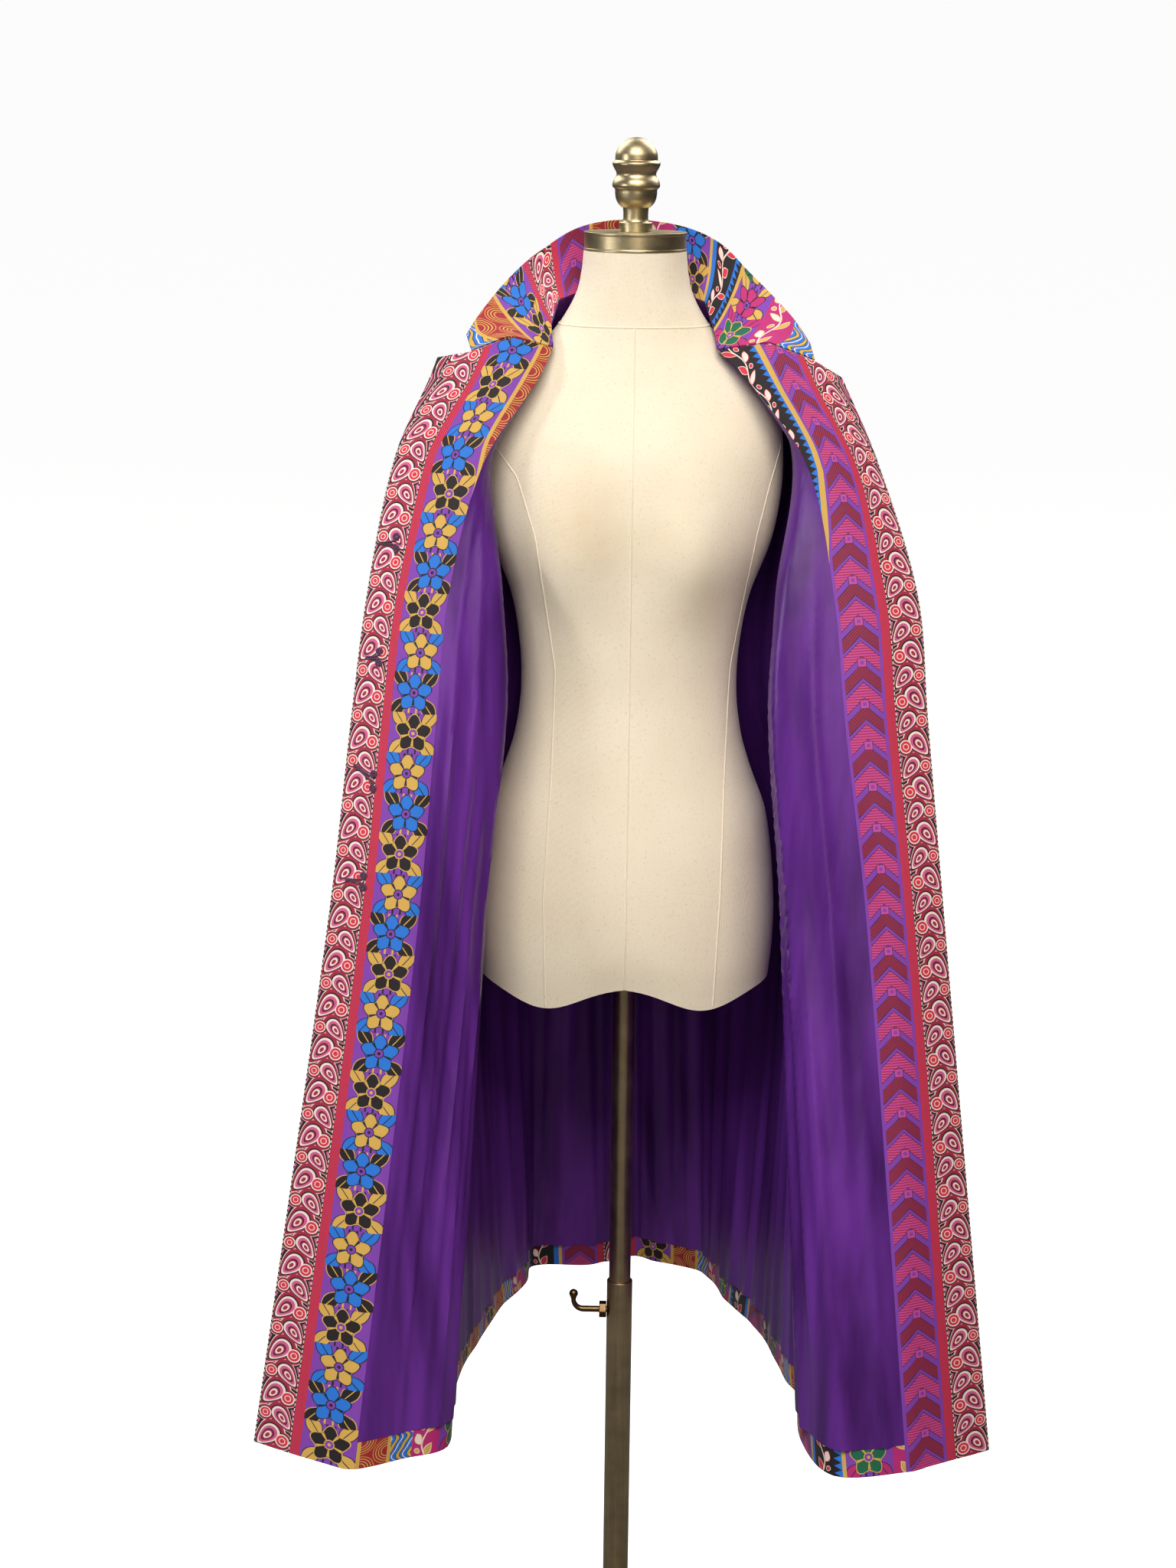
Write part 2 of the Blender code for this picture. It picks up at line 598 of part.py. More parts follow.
def make_cap_and_finial(brass):
    """Flat neck cap and the turned finial screwed on it."""
    low = NECK_TOP + GAP
    high = NECK_TOP + CAP_HEIGHT
    lathe("neck_cap", (
        (0.0, low), (CAP_RADIUS, low), (CAP_RADIUS, high - 0.0015),
        (CAP_RADIUS - 0.0015, high), (0.0, high)), 36, brass)
    foot = high + GAP
    profile = [(0.0, foot)]
    for radius, rise in (
            (0.0172, 0.000), (0.0172, 0.0095), (0.0128, 0.0125), (0.0128, 0.0235),
            (0.0165, 0.0255), (0.0205, 0.0300), (0.0218, 0.0355), (0.0218, 0.0415),
            (0.0244, 0.0440), (0.0244, 0.0500), (0.0200, 0.0530), (0.0200, 0.0620),
            (0.0244, 0.0650), (0.0244, 0.0710), (0.0212, 0.0790), (0.0165, 0.0870), (0.0090, 0.0932)):
        profile.append((radius, foot + rise))
    profile.append((0.0, foot + 0.0950))
    lathe("finial", profile, 24, brass)


def make_panels(points, normals, brocade, satin):
    """The shell, its facings, the linings and the hem's facing."""
    right_edge = 0
    right_seam = column_of("right_seam")
    right_side = column_of("right_side")
    left_side = column_of("left_side")
    left_seam = column_of("left_seam")
    left_edge = len(points) - 1
    hem_row = 1
    turned = turned_quads(points)

    def panel(name, start, stop, bottom_row, layer, finish_material, **pulls):
        """One wall over a run of columns, at a layer's offsets."""
        part = (slice(start, stop + 1), slice(bottom_row, None))
        grid = pull_edges(points[part], **pulls)
        wall(name, grid, normals[part], turned[part], *layer, finish_material)

    shell = (0.0, SHELL)
    under = (-GAP - INNER, -GAP)
    seam = SEAM_PULL
    panel("front_right", right_edge, right_side, 0, shell, brocade, left=seam, top=seam)
    panel("back", right_side, left_side, 0, shell, brocade, right=seam, left=seam, top=seam)
    panel("front_left", left_side, left_edge, 0, shell, brocade, right=seam, top=seam)
    panel("facing_right", right_edge, right_seam, 0, under, brocade, left=seam, top=seam)
    panel("facing_left", left_seam, left_edge, 0, under, brocade, right=seam, top=seam)
    panel("lining_front_right", right_seam, right_side, hem_row, under, satin,
          right=seam, left=seam, bottom=seam, top=seam)
    panel("lining_back", right_side, left_side, hem_row, under, satin,
          right=seam, left=seam, bottom=seam, top=seam)
    panel("lining_front_left", left_side, left_seam, hem_row, under, satin,
          right=seam, left=seam, bottom=seam, top=seam)
    for name, start, stop in (
            ("hem_facing_right", right_seam, right_side),
            ("hem_facing_back", right_side, left_side),
            ("hem_facing_left", left_side, left_seam)):
        part = (slice(start, stop + 1), slice(0, hem_row + 1))
        grid = pull_edges(points[part], right=seam, left=seam, top=seam)
        wall(name, grid, normals[part], turned[part], *under, brocade)


def make_collar(points, brocade):
    """Stand-up collar from notch to notch, made from the panels' neck points."""
    neck_columns = (
        list(range(column_of("right_notch"), column_of("right_fold") + 1))
        + list(range(column_of("right_neck_back") + 1, column_of("left_neck_back")))
        + list(range(column_of("left_fold"), column_of("left_notch") + 1)))
    neck = [points[c, -1] for c in neck_columns]
    edge_stations = [leaned(*point) for point in COLLAR_EDGE.values()]
    edge = []
    for i, start in enumerate(edge_stations[:-1]):
        end = edge_stations[i + 1]
        before = edge_stations[i - 1] if i > 0 else 2 * start - end
        after = edge_stations[i + 2] if i + 2 < len(edge_stations) else 2 * end - start
        edge += [catmull(before, start, end, after, k / SPLIT) for k in range(SPLIT)]
    edge.append(edge_stations[-1])
    grid = []
    for i, (low, up) in enumerate(zip(neck, edge)):
        around = math.sin(math.pi * i / (len(neck) - 1))
        ahead = neck[min(i + 1, len(neck) - 1)] - neck[max(i - 1, 0)]
        slope = (up - low) / np.linalg.norm(up - low)
        bow = np.cross(slope, ahead)
        bow *= COLLAR_SWELL * around / np.linalg.norm(bow)
        start = low + slope * (COLLAR_NOTCH_LIFT + COLLAR_NECK_LIFT * min(1.0, 3.0 * around ** 2))
        grid.append([
            start + (up - start) * t + bow * math.sin(math.pi * t)
            for t in (k / COLLAR_ROWS for k in range(COLLAR_ROWS + 1))])
    grid = np.array(grid)
    wall("collar", grid, outward_normals(grid), turned_quads(grid), -COLLAR_CLOTH, 0.0, brocade)


def make_sleeve(side, points, normals, brocade):
    """One sleeve from its armhole down to an open cuff."""
    sign = -1.0 if side == "right" else 1.0
    if side == "right":
        run = list(range(column_of("right_tip_front"), column_of("right_tip_back")))
    else:
        run = list(range(column_of("left_tip_front"), column_of("left_tip_back"), -1))
    armhole = [points[c, -1] for c in run]
    middle = np.mean(armhole, axis=0)
    start = []
    for point, c in zip(armhole, run):
        away = point - middle
        away[0] = 0.0
        start.append(point + normals[c, -1] * (SHELL + 2 * GAP)
                     + np.array((sign * SLEEVE_CLEAR, 0.0, 0.0))
                     - away / np.linalg.norm(away) * SLEEVE_TUCK)
    count = len(start)
    tubes = []
    for i, base in enumerate(start):
        turn = math.tau * i / count
        flat = np.array((SLEEVE_HALF_X * sign * math.cos(turn), -SLEEVE_HALF_Y * math.sin(turn), 0.0))
        centre = np.array((sign * SLEEVE_X, SLEEVE_Y, 0.0))
        elbow = centre + flat + np.array((0, 0, ELBOW_Z))
        out = 0.022 * (0.5 + 0.5 * math.cos(turn)) + 0.014
        first = base + np.array((sign * out, 0.0, 0.0))
        second = elbow + np.array((0, 0, 0.35 * (base[2] - ELBOW_Z)))
        line = []
        for k in range(SLEEVE_RINGS + 1):
            t = k / SLEEVE_RINGS
            line.append((1 - t) ** 3 * base + 3 * (1 - t) ** 2 * t * first
                        + 3 * (1 - t) * t ** 2 * second + t ** 3 * elbow)
        line.append(np.array((elbow[0], elbow[1], CUFF_Z)))
        tubes.append(line)
    tubes.append(tubes[0])
    grid = np.array(tubes)
    facing = outward_normals(grid)
    facing[0] = facing[-1] = (facing[0] + facing[-1]) / 2
    centre_line = grid[:-1].mean(axis=0)
    if float(np.sum((grid[:, 3] - centre_line[3]) * facing[:, 3])) < 0.0:
        facing = -facing
    wall("sleeve_" + side, grid, facing, turned_quads(grid), 0.0, SHELL, brocade, closed=True)


def make_frog(number, points, normals, cord):
    """A flat corded frog lying on the right facing."""
    height, share, tail, tilt = FROGS[number - 1]
    half_pitch = FROG_HALF_PITCH[number - 1]
    heights = points[0, :, 2]
    row = int(np.searchsorted(heights, height)) - 1
    t = (height - heights[row]) / (heights[row + 1] - heights[row])
    seam = column_of("right_seam")
    edge_point = points[0, row] * (1 - t) + points[0, row + 1] * t
    seam_point = points[seam, row] * (1 - t) + points[seam, row + 1] * t
    across = (seam_point - edge_point) / np.linalg.norm(seam_point - edge_point)
    line = points[:seam + 1, row] * (1 - t) + points[:seam + 1, row + 1] * t
    lengths = np.cumsum(np.linalg.norm(np.diff(line, axis=0), axis=1))
    lengths = np.concatenate(([0.0], lengths))
    column = float(np.interp(share * lengths[-1], lengths, np.arange(seam + 1)))
    c = int(column)
    f = column - c
    corners = points[c:c + 2, row:row + 2]
    here = ((corners[0, 0] * (1 - f) + corners[1, 0] * f) * (1 - t)
            + (corners[0, 1] * (1 - f) + corners[1, 1] * f) * t)
    inward = -(normals[c, row] * (1 - f) + normals[c + 1, row] * f)
    inward /= np.linalg.norm(inward)
    up = np.cross(across, inward)
    up /= np.linalg.norm(up)
    if up[2] < 0:
        up = -up
    across = np.cross(up, inward)
    across /= np.linalg.norm(across)
    if across[0] < 0:
        across = -across
    centre = here + inward * (2 * GAP + INNER + 0.0007)

    def arc(middle_y, start, stop):
        """Points round a disc, between two angles in degrees."""
        made = []
        for k in range(FROG_ARC_STEPS):
            a = math.radians(start + (stop - start) * k / (FROG_ARC_STEPS - 1))
            made.append((FROG_DISC * math.cos(a), middle_y + FROG_DISC * math.sin(a)))
        return made

    half = FROG_CORD
    open_angle = math.degrees(math.asin(min(0.95, half / FROG_DISC)))
    outline = arc(half_pitch, -90 + open_angle, 270 - open_angle)
    lean = math.tan(math.radians(tilt)) * tail
    side = half * FROG_TAIL_SHARE
    outline += [(-half, side), (-half - tail, side + lean), (-half - tail, lean - side), (-half, -side)]
    outline += arc(-half_pitch, -270 + open_angle, 90 - open_angle)
    bm = bmesh.new()
    flat = [bm.verts.new(centre + across * x + up * y) for x, y in outline]
    face = bm.faces.new(flat)
    raised = bmesh.ops.extrude_face_region(bm, geom=[face], use_keep_orig=True)["geom"]
    moved = [item for item in raised if isinstance(item, bmesh.types.BMVert)]
    bmesh.ops.translate(bm, verts=moved, vec=Vector(inward * FROG_THICK))
    bmesh.ops.triangulate(bm, faces=[f for f in bm.faces if len(f.verts) > 4])
    finish(f"frog_{number}", bm, cord)


def main():
    """Build the stand, the form and the coat."""
    clear_scene()
    brass = material("aged brass", (0.33, 0.27, 0.15), 0.34, 1.0)
    iron = material("bronzed iron", (0.20, 0.16, 0.10), 0.45, 0.9)
    linen = material("cream linen", (0.80, 0.73, 0.60), 0.92)
    brocade = material("brocade", (0.42, 0.06, 0.16), 0.62)
    satin = material("purple satin", (0.15, 0.05, 0.33), 0.38)
    cord = material("aubergine cord", (0.05, 0.01, 0.05), 0.7)
    make_stand(brass, iron)
    make_torso(linen)
    make_cap_and_finial(brass)
    points = coat_surface()
    normals = outward_normals(points)
    mitre_shoulders(normals)
    make_panels(points, normals, brocade, satin)
    make_collar(points, brocade)
    make_sleeve("right", points, normals, brocade)
    make_sleeve("left", points, normals, brocade)
    for number in range(1, len(FROGS) + 1):
        make_frog(number, points, normals, cord)


main()
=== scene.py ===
# %% [markdown]
# A long brocade coat hangs open on a dress form, and the form stands on a brass pole.
# The CAD model of both is already built, so this lesson loads it as a fixed frame and
# dresses it: each cloth piece is cut again more finely, given its folds, and woven in nodes.

# %% Load the frame
import math
from functools import partialmethod

import bmesh
import bpy
import numpy as np
from mathutils import Matrix, Vector


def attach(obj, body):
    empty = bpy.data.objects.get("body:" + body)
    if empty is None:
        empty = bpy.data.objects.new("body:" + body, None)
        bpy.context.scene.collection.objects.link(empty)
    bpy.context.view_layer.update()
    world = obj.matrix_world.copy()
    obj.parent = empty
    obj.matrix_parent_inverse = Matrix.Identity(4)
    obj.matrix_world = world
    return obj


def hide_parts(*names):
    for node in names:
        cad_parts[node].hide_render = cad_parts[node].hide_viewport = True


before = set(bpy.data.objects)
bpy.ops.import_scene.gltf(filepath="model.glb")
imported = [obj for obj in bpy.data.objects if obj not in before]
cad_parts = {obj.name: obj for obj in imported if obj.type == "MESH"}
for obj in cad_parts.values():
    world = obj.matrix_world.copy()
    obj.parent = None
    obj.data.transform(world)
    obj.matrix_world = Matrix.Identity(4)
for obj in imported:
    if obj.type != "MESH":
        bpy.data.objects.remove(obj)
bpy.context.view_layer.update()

# %% Small helpers
def new_object(name, data):
    """An object that shows some data in the scene."""
    made = bpy.data.objects.new(name, data)
    bpy.context.scene.collection.objects.link(made)
    return made


def fill(node, inputs):
    """Give a node's inputs plain values, or the sockets and fields that feed them."""
    for key, value in inputs.items():
        value = getattr(value, "socket", value)
        if isinstance(value, bpy.types.NodeSocket):
            node.id_data.links.new(value, node.inputs[key])
        else:
            node.inputs[key].default_value = value
    return node


def new_node(tree, kind, inputs, **settings):
    """A shader node with its settings and inputs given."""
    node = tree.nodes.new("ShaderNode" + kind)
    for key, value in settings.items():
        setattr(node, key, value)
    return fill(node, inputs)


def new_material(name, inputs):
    """A material, its node tree, and its shader with inputs given."""
    made = bpy.data.materials.new(name)
    made.use_nodes = True
    tree = made.node_tree
    return made, tree, fill(tree.nodes["Principled BSDF"], inputs)


def tell_frame(piece, body, node=None):
    """Tell the frame what a piece rides on, and hide the CAD part that it stands for."""
    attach(piece, body)
    if node:
        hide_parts(node)

# %% [markdown]
# The photograph was taken from a little above the collar with a long lens, looking down.
# A camera is only a place, a direction and a lens, so all three are written as numbers.

# %% Camera
PHOTO_WIDTH, PHOTO_HEIGHT = 1536, 2048
FOCAL_PIXELS = 4000
SENSOR = 36.0
CAMERA_PLACE = Vector((0.0, -3.20, 1.78))
AXIS_COLUMN = 820.5     # the photograph's column where the pole's axis stands
AXIS_LEAN = (17, 1400)  # pixels that the axis leans, over so many pixels of height
PITCH = math.radians(13.0)
ROLL = -math.atan2(*AXIS_LEAN)
YAW = math.atan((AXIS_COLUMN - PHOTO_WIDTH / 2) / FOCAL_PIXELS)

level = Vector((-math.sin(YAW), math.cos(YAW), 0.0))
ahead = level * math.cos(PITCH) - Vector((0, 0, math.sin(PITCH)))
right = ahead.cross(Vector((0, 0, 1))).normalized()
above = right.cross(ahead)
camera_x = math.cos(ROLL) * right - math.sin(ROLL) * above
camera_y = math.sin(ROLL) * right + math.cos(ROLL) * above
lens = bpy.data.cameras.new("camera")
lens.sensor_width = SENSOR
lens.lens = FOCAL_PIXELS / PHOTO_HEIGHT * SENSOR
camera = new_object("camera", lens)
turn = Matrix((camera_x, camera_y, -ahead)).transposed().to_4x4()
camera.matrix_world = Matrix.Translation(CAMERA_PLACE) @ turn
bpy.context.scene.camera = camera
print("lens", round(lens.lens, 2), "mm")

# %% [markdown]
# The room is a wide pale floor under an even pale sky, so the coat can be looked at from all
# sides and nothing shows behind it. Soft lamps stand in for windows, before it and behind it.

# %% Floor and light
FLOOR_RADIUS = 30.0
FLOOR_SIDES = 96
COAT_MIDDLE = (0, 0, 1.0)
SKIRT_MIDDLE = (0, 0, 0.7)
SKY_SEEN, SKY_LIGHT = 0.97, 0.07
WHITE = (1.0, 1.0, 1.0, 1.0)


def camera_switch(tree, seen, other):
    """A number that the camera sees as one value and light takes as another."""
    eye = new_node(tree, "LightPath", {}).outputs["Is Camera Ray"]
    inputs = {"Value": eye, "To Min": other, "To Max": seen}
    return new_node(tree, "MapRange", inputs).outputs["Result"]


def floor_material(seen, bounce, glow):
    """A floor that looks pale but throws little light back up into the coat."""
    made, tree, shader = new_material("pale_floor", {
        "Roughness": 0.95, "Specular IOR Level": 0.0, "Emission Color": WHITE})
    fill(shader, {"Base Color": camera_switch(tree, seen, bounce),
                  "Emission Strength": camera_switch(tree, glow, 0.0)})
    return made


floor_mesh = bmesh.new()
bmesh.ops.create_circle(floor_mesh, cap_ends=True, segments=FLOOR_SIDES, radius=FLOOR_RADIUS)
floor_data = bpy.data.meshes.new("floor")
floor_mesh.to_mesh(floor_data)
floor_mesh.free()
floor_data.materials.append(floor_material(seen=0.45, bounce=0.12, glow=0.94))
new_object("floor", floor_data)


def soft_light(name, place, target, size, watts, colour=(1, 1, 1)):
    """A square area light that looks at a point."""
    data = bpy.data.lights.new(name, "AREA")
    data.size, data.energy, data.color = size, watts, colour
    lamp = new_object(name, data)
    lamp.location = place
    lamp.rotation_euler = (Vector(target) - Vector(place)).to_track_quat("-Z", "Y").to_euler()


soft_light("window_left", (-0.9, -3.6, 4.7), SKIRT_MIDDLE, 2.2, 156, (1.0, 0.99, 0.97))
soft_light("window_right", (1.0, -3.5, 4.5), SKIRT_MIDDLE, 2.0, 122, (1.0, 0.90, 0.79))
soft_light("front", (0.4, -3.8, 1.9), (0, 0, 0.9), 1.0, 16, (1.0, 0.88, 0.74))
soft_light("side", (-2.6, -1.5, 1.9), COAT_MIDDLE, 0.5, 24)
soft_light("behind_left", (-2.4, 2.4, 4.2), COAT_MIDDLE, 3.4, 165)
soft_light("behind_right", (2.2, 2.6, 4.2), COAT_MIDDLE, 3.4, 185)
sky = bpy.data.worlds.new("sky")
sky.use_nodes = True
fill(sky.node_tree.nodes["Background"], {
    "Color": WHITE, "Strength": camera_switch(sky.node_tree, SKY_SEEN, SKY_LIGHT)})
bpy.context.scene.world = sky
bpy.context.scene.view_settings.view_transform = "Standard"

# %% [markdown]
# The coat's shape comes from a table: stations run round the body from the wearer's right
# front edge to the left one, and each says where the cloth is at six heights and at its top.
# A soft curve through those points is the cloth's middle surface, as a cutter's toile is.

# %% The coat's stations
HEM_Z = 0.386
CHEST_Z = 1.270
HEM_FACING = 0.028
SECTION_HEIGHTS = (HEM_Z, 0.945, 1.150, CHEST_Z, 1.400, 1.480)
LEAN_HEIGHT, LEAN_BELOW, LEAN_ABOVE = 1.160, 0.0135, 0.0070
STATIONS = {
    "right_edge": ((-.390, -.240), (-.305, -.190), (-.281, -.150), (-.266, -.120),
                   (-.240, -.080), (-.205, -.060), (-.198, -.056, 1.499)),
    "right_notch": ((-.335, -.276), (-.259, -.203), (-.238, -.163), (-.224, -.133),
                    (-.196, -.097), (-.164, -.068), (-.163, -.056, 1.505)),
    "right_gorge": ((-.308, -.291), (-.236, -.207), (-.216, -.167), (-.203, -.138),
                    (-.173, -.103), (-.128, -.076), (-.124, -.054, 1.520)),
    "right_seam": ((-.280, -.302), (-.213, -.206), (-.194, -.166), (-.1825, -.136),
                   (-.148, -.104), (-.095, -.070), (-.081, -.046, 1.509)),
    "right_ridge": ((-.232, -.275), (-.180, -.176), (-.158, -.150), (-.154, -.132),
                    (-.142, -.093), (-.098, -.050), (-.0835, -.018, 1.532)),
    "right_fold": ((-.188, -.245), (-.150, -.142), (-.126, -.128), (-.130, -.120),
                   (-.143, -.077), (-.120, -.038), (-.0770, .014, 1.553)),
    "right_breast": ((-.189, -.155), (-.172, -.092), (-.146, -.090), (-.148, -.082),
                     (-.156, -.064), (-.150, -.026), (-.1225, .018, 1.4881)),
    "right_tip_front": ((-.187, -.078), (-.180, -.042), (-.154, -.048), (-.160, -.047),
                        (-.171, -.046), None, (-.190, .014, 1.4620)),
    "right_armhole_front": ((-.180, -.012), (-.183, .000), (-.157, -.010), (-.165, -.012),
                            None, None, (-.178, -.008, 1.366)),
    "right_side": ((-.166, .050), (-.178, .045), (-.155, .024), (-.166, .018),
                   None, None, (-.172, .018, 1.302)),
    "right_armhole_back": ((-.146, .128), (-.164, .092), (-.143, .052), (-.158, .046),
                           None, None, (-.178, .046, 1.374)),
    "right_tip_back": ((-.122, .205), (-.138, .140), (-.118, .086), (-.138, .080),
                       (-.164, .080), None, (-.190, .0145, 1.4620)),
    "right_shoulder_back": ((-.116, .262), (-.100, .172), (-.088, .110), (-.102, .108),
                            (-.118, .108), (-.128, .078), (-.1225, .0185, 1.4881)),
    "right_neck_back": ((-.052, .263), (-.052, .187), (-.046, .122), (-.053, .122),
                        (-.066, .121), (-.080, .092), (-.0770, .0145, 1.553)),
    "right_nape": ((-.022, .276), (-.024, .197), (-.022, .127), (-.025, .128),
                   (-.032, .128), (-.044, .106), (-.0520, .052, 1.560)),
    "nape": ((.008, .297), (.004, .204), (.000, .128), (.000, .130),
             (.000, .131), (.000, .112), (.0000, .068, 1.562)),
    "left_nape": ((.042, .277), (.032, .195), (.022, .127), (.025, .128),
                  (.032, .128), (.044, .106), (.0520, .052, 1.560)),
    "left_neck_back": ((.078, .254), (.062, .184), (.046, .122), (.053, .122),
                       (.066, .121), (.080, .092), (.0770, .0145, 1.553)),
    "left_shoulder_back": ((.101, .218), (.104, .166), (.088, .110), (.102, .108),
                           (.118, .108), (.128, .078), (.1250, .0185, 1.4898)),
    "left_tip_back": ((.117, .160), (.140, .134), (.118, .086), (.138, .080),
                      (.164, .080), None, (.190, .0145, 1.4620)),
    "left_armhole_back": ((.134, .108), (.164, .090), (.143, .052), (.158, .046),
                          None, None, (.178, .046, 1.374)),
    "left_side": ((.153, .060), (.178, .045), (.157, .024), (.167, .018),
                  None, None, (.172, .018, 1.302)),
    "left_armhole_front": ((.166, .002), (.184, .000), (.160, -.010), (.167, -.012),
                           None, None, (.178, -.008, 1.366)),
    "left_tip_front": ((.174, -.063), (.182, -.042), (.161, -.048), (.165, -.047),
                       (.173, -.046), None, (.190, .014, 1.4620)),
    "left_breast": ((.184, -.108), (.180, -.094), (.160, -.090), (.159, -.084),
                    (.168, -.062), (.152, -.028), (.1250, .018, 1.4898)),
    "left_fold": ((.183, -.212), (.166, -.150), (.148, -.130), (.150, -.116),
                  (.167, -.078), (.136, -.036), (.0770, .014, 1.553)),
    "left_ridge": ((.212, -.297), (.174, -.192), (.155, -.160), (.160, -.136),
                   (.171, -.091), (.121, -.048), (.0840, -.018, 1.532)),
    "left_seam": ((.287, -.2855), (.2425, -.196), (.2187, -.165), (.207, -.136),
                  (.179, -.100), (.121, -.068), (.0890, -.046, 1.509)),
    "left_gorge": ((.310, -.272), (.262, -.202), (.239, -.166), (.228, -.137),
                   (.199, -.102), (.150, -.074), (.140, -.054, 1.517)),
    "left_notch": ((.3435, -.252), (.289, -.198), (.267, -.160), (.256, -.132),
                   (.224, -.094), (.186, -.068), (.187, -.056, 1.500)),
    "left_edge": ((.378, -.229), (.3225, -.185), (.3040, -.147), (.2930, -.118),
                  (.2520, -.080), None, (.2150, -.058, 1.484)),
}
NAMES = list(STATIONS)
print(len(NAMES), "stations round the coat")

# %% A soft curve up each station
HEM_ROW = 2             # row of cloth at the top of the hem's facing
LOWER_STEPS = 78        # rows of cloth from the hem's facing up to the chest
UPPER_STEPS = 26        # rows from the chest up to each station's top
TOP_SAMPLES = 80        # steps that measure a station's length above the chest
FINE = 6                # columns of the fine surface between two stations
CAD_UPPER_ROWS = 6      # the CAD's rows above the chest, over which its curve goes straight
SOFT_LEFT = 0.75        # how much of the curve is left after the first of them


def catmull(before, start, end, after, t):
    """Catmull-Rom point between start and end."""
    return 0.5 * (
        2 * start + (end - before) * t
        + (2 * before - 5 * start + 4 * end - after) * t ** 2
        + (3 * start - before - 3 * end + after) * t ** 3)


def stretches(knots):
    """Each stretch between two knots, with the knots before and after it."""
    for i, (start, end) in enumerate(zip(knots, knots[1:])):
        before = knots[i - 1] if i > 0 else 2 * start - end
        after = knots[i + 2] if i + 2 < len(knots) else 2 * end - start
        yield before, start, end, after


def smooth_track(heights, points, height):
    """Point at a height on a soft curve through points that rise."""
    last = len(heights) - 2
    k = min(max(int(np.searchsorted(heights, height)) - 1, 0), last)
    span = heights[k + 1] - heights[k]
    t = (height - heights[k]) / span

    def slope(i):
        """Slope at a knot, one-sided at the ends."""
        low, high = max(i - 1, 0), min(i + 1, last + 1)
        return (points[high] - points[low]) / (heights[high] - heights[low])

    return ((2 * t ** 3 - 3 * t ** 2 + 1) * points[k] + (t ** 3 - 2 * t ** 2 + t) * span * slope(k)
            + (3 * t ** 2 - 2 * t ** 3) * points[k + 1] + (t ** 3 - t ** 2) * span * slope(k + 1))


def leaned(x, y, z):
    """A point of the tables, moved as the coat hangs a little askew."""
    share = LEAN_BELOW if z < LEAN_HEIGHT else LEAN_ABOVE
    return np.array((x + share * (LEAN_HEIGHT - z), y, z))


def lengths_from_start(steps):
    """Running length along steps that are given, from nought."""
    return np.concatenate((np.zeros((1, *steps.shape[1:])), np.cumsum(steps, axis=0)))


def station_column(name):
    """The points of one station, from the hem to its top."""
    *sections, top = STATIONS[name]
    knots = [(height, leaned(*section, height))
             for height, section in zip(SECTION_HEIGHTS, sections) if section is not None]
    heights, points = zip(*knots, (top[2], leaned(*top)))
    low_rows = np.concatenate((
        np.linspace(HEM_Z, HEM_Z + HEM_FACING, HEM_ROW + 1)[:-1],
        np.linspace(HEM_Z + HEM_FACING, CHEST_Z, LOWER_STEPS)))
    column = [smooth_track(heights, points, height) for height in low_rows]
    fine = np.array([smooth_track(heights, points, CHEST_Z + (top[2] - CHEST_Z) * k / TOP_SAMPLES)
                     for k in range(TOP_SAMPLES + 1)])
    along = lengths_from_start(np.linalg.norm(np.diff(fine, axis=0), axis=1))
    for k in range(1, UPPER_STEPS + 1):
        place = along[-1] * k / UPPER_STEPS
        column.append(np.array([np.interp(place, along, fine[:, i]) for i in range(3)]))
    return np.array(column)


def coat_surface():
    """The coat's middle surface as points[column, row]."""
    stations = [station_column(name) for name in NAMES]
    softness = np.ones((len(stations[0]), 1))
    shares = np.arange(1, UPPER_STEPS + 1) / UPPER_STEPS
    softness[-UPPER_STEPS:, 0] = np.interp(
        shares, (0, 1 / CAD_UPPER_ROWS, 1), (1.0, SOFT_LEFT, 0.0))
    columns = []
    for before, start, end, after in stretches(stations):
        for k in range(FINE):
            t = k / FINE
            straight = start + (end - start) * t
            columns.append(straight + (catmull(before, start, end, after, t) - straight) * softness)
    return np.array([*columns, stations[-1]])


def column_of(name):
    """Column of a station in the fine surface."""
    return NAMES.index(name) * FINE


coat = coat_surface()
print("the fine surface has", coat.shape[0], "columns and", coat.shape[1], "rows")

# %% [markdown]
# Cloth never hangs smooth. The brocade falls in a few wide soft folds, and the satin inside
# it is cut looser, so it falls in more and narrower ones. Each fold is a ridge on the surface:
# a station, a width, the heights between which it lives, a drift and a depth.

# %% Outward directions and folds
SMOOTHING_PASSES = 3
FOLD_LEAN = 1.5         # a fold is this much steeper on one side
FOLD_RISE, FOLD_BODY = 0.8, 0.7     # how a fold swells from its lower end and dies out above


def outward(points):
    """Unit outward direction at each point of a grid."""
    result = np.cross(np.gradient(points, axis=1), np.gradient(points, axis=0))
    for _ in range(SMOOTHING_PASSES):
        result[1:-1] = (result[:-2] + 2 * result[1:-1] + result[2:]) / 4
    return result / np.linalg.norm(result, axis=2, keepdims=True)


def fold_depth(folds, station, height):
    """How far a list of folds moves the cloth at given stations and heights."""
    total = np.zeros(np.broadcast(station, height).shape)
    for place, width, low, high, drift, depth in folds:
        rise = np.clip((height - low) / (high - low), 0.0, 1.0)
        body = np.sin(np.pi * rise ** FOLD_RISE) ** FOLD_BODY
        spread = (station - place - drift * (rise - 0.5)) / width
        spread = np.where(spread > 0.0, spread * FOLD_LEAN, -spread)
        total += depth * body / (1.0 + spread ** 2) ** 1.5
    return total


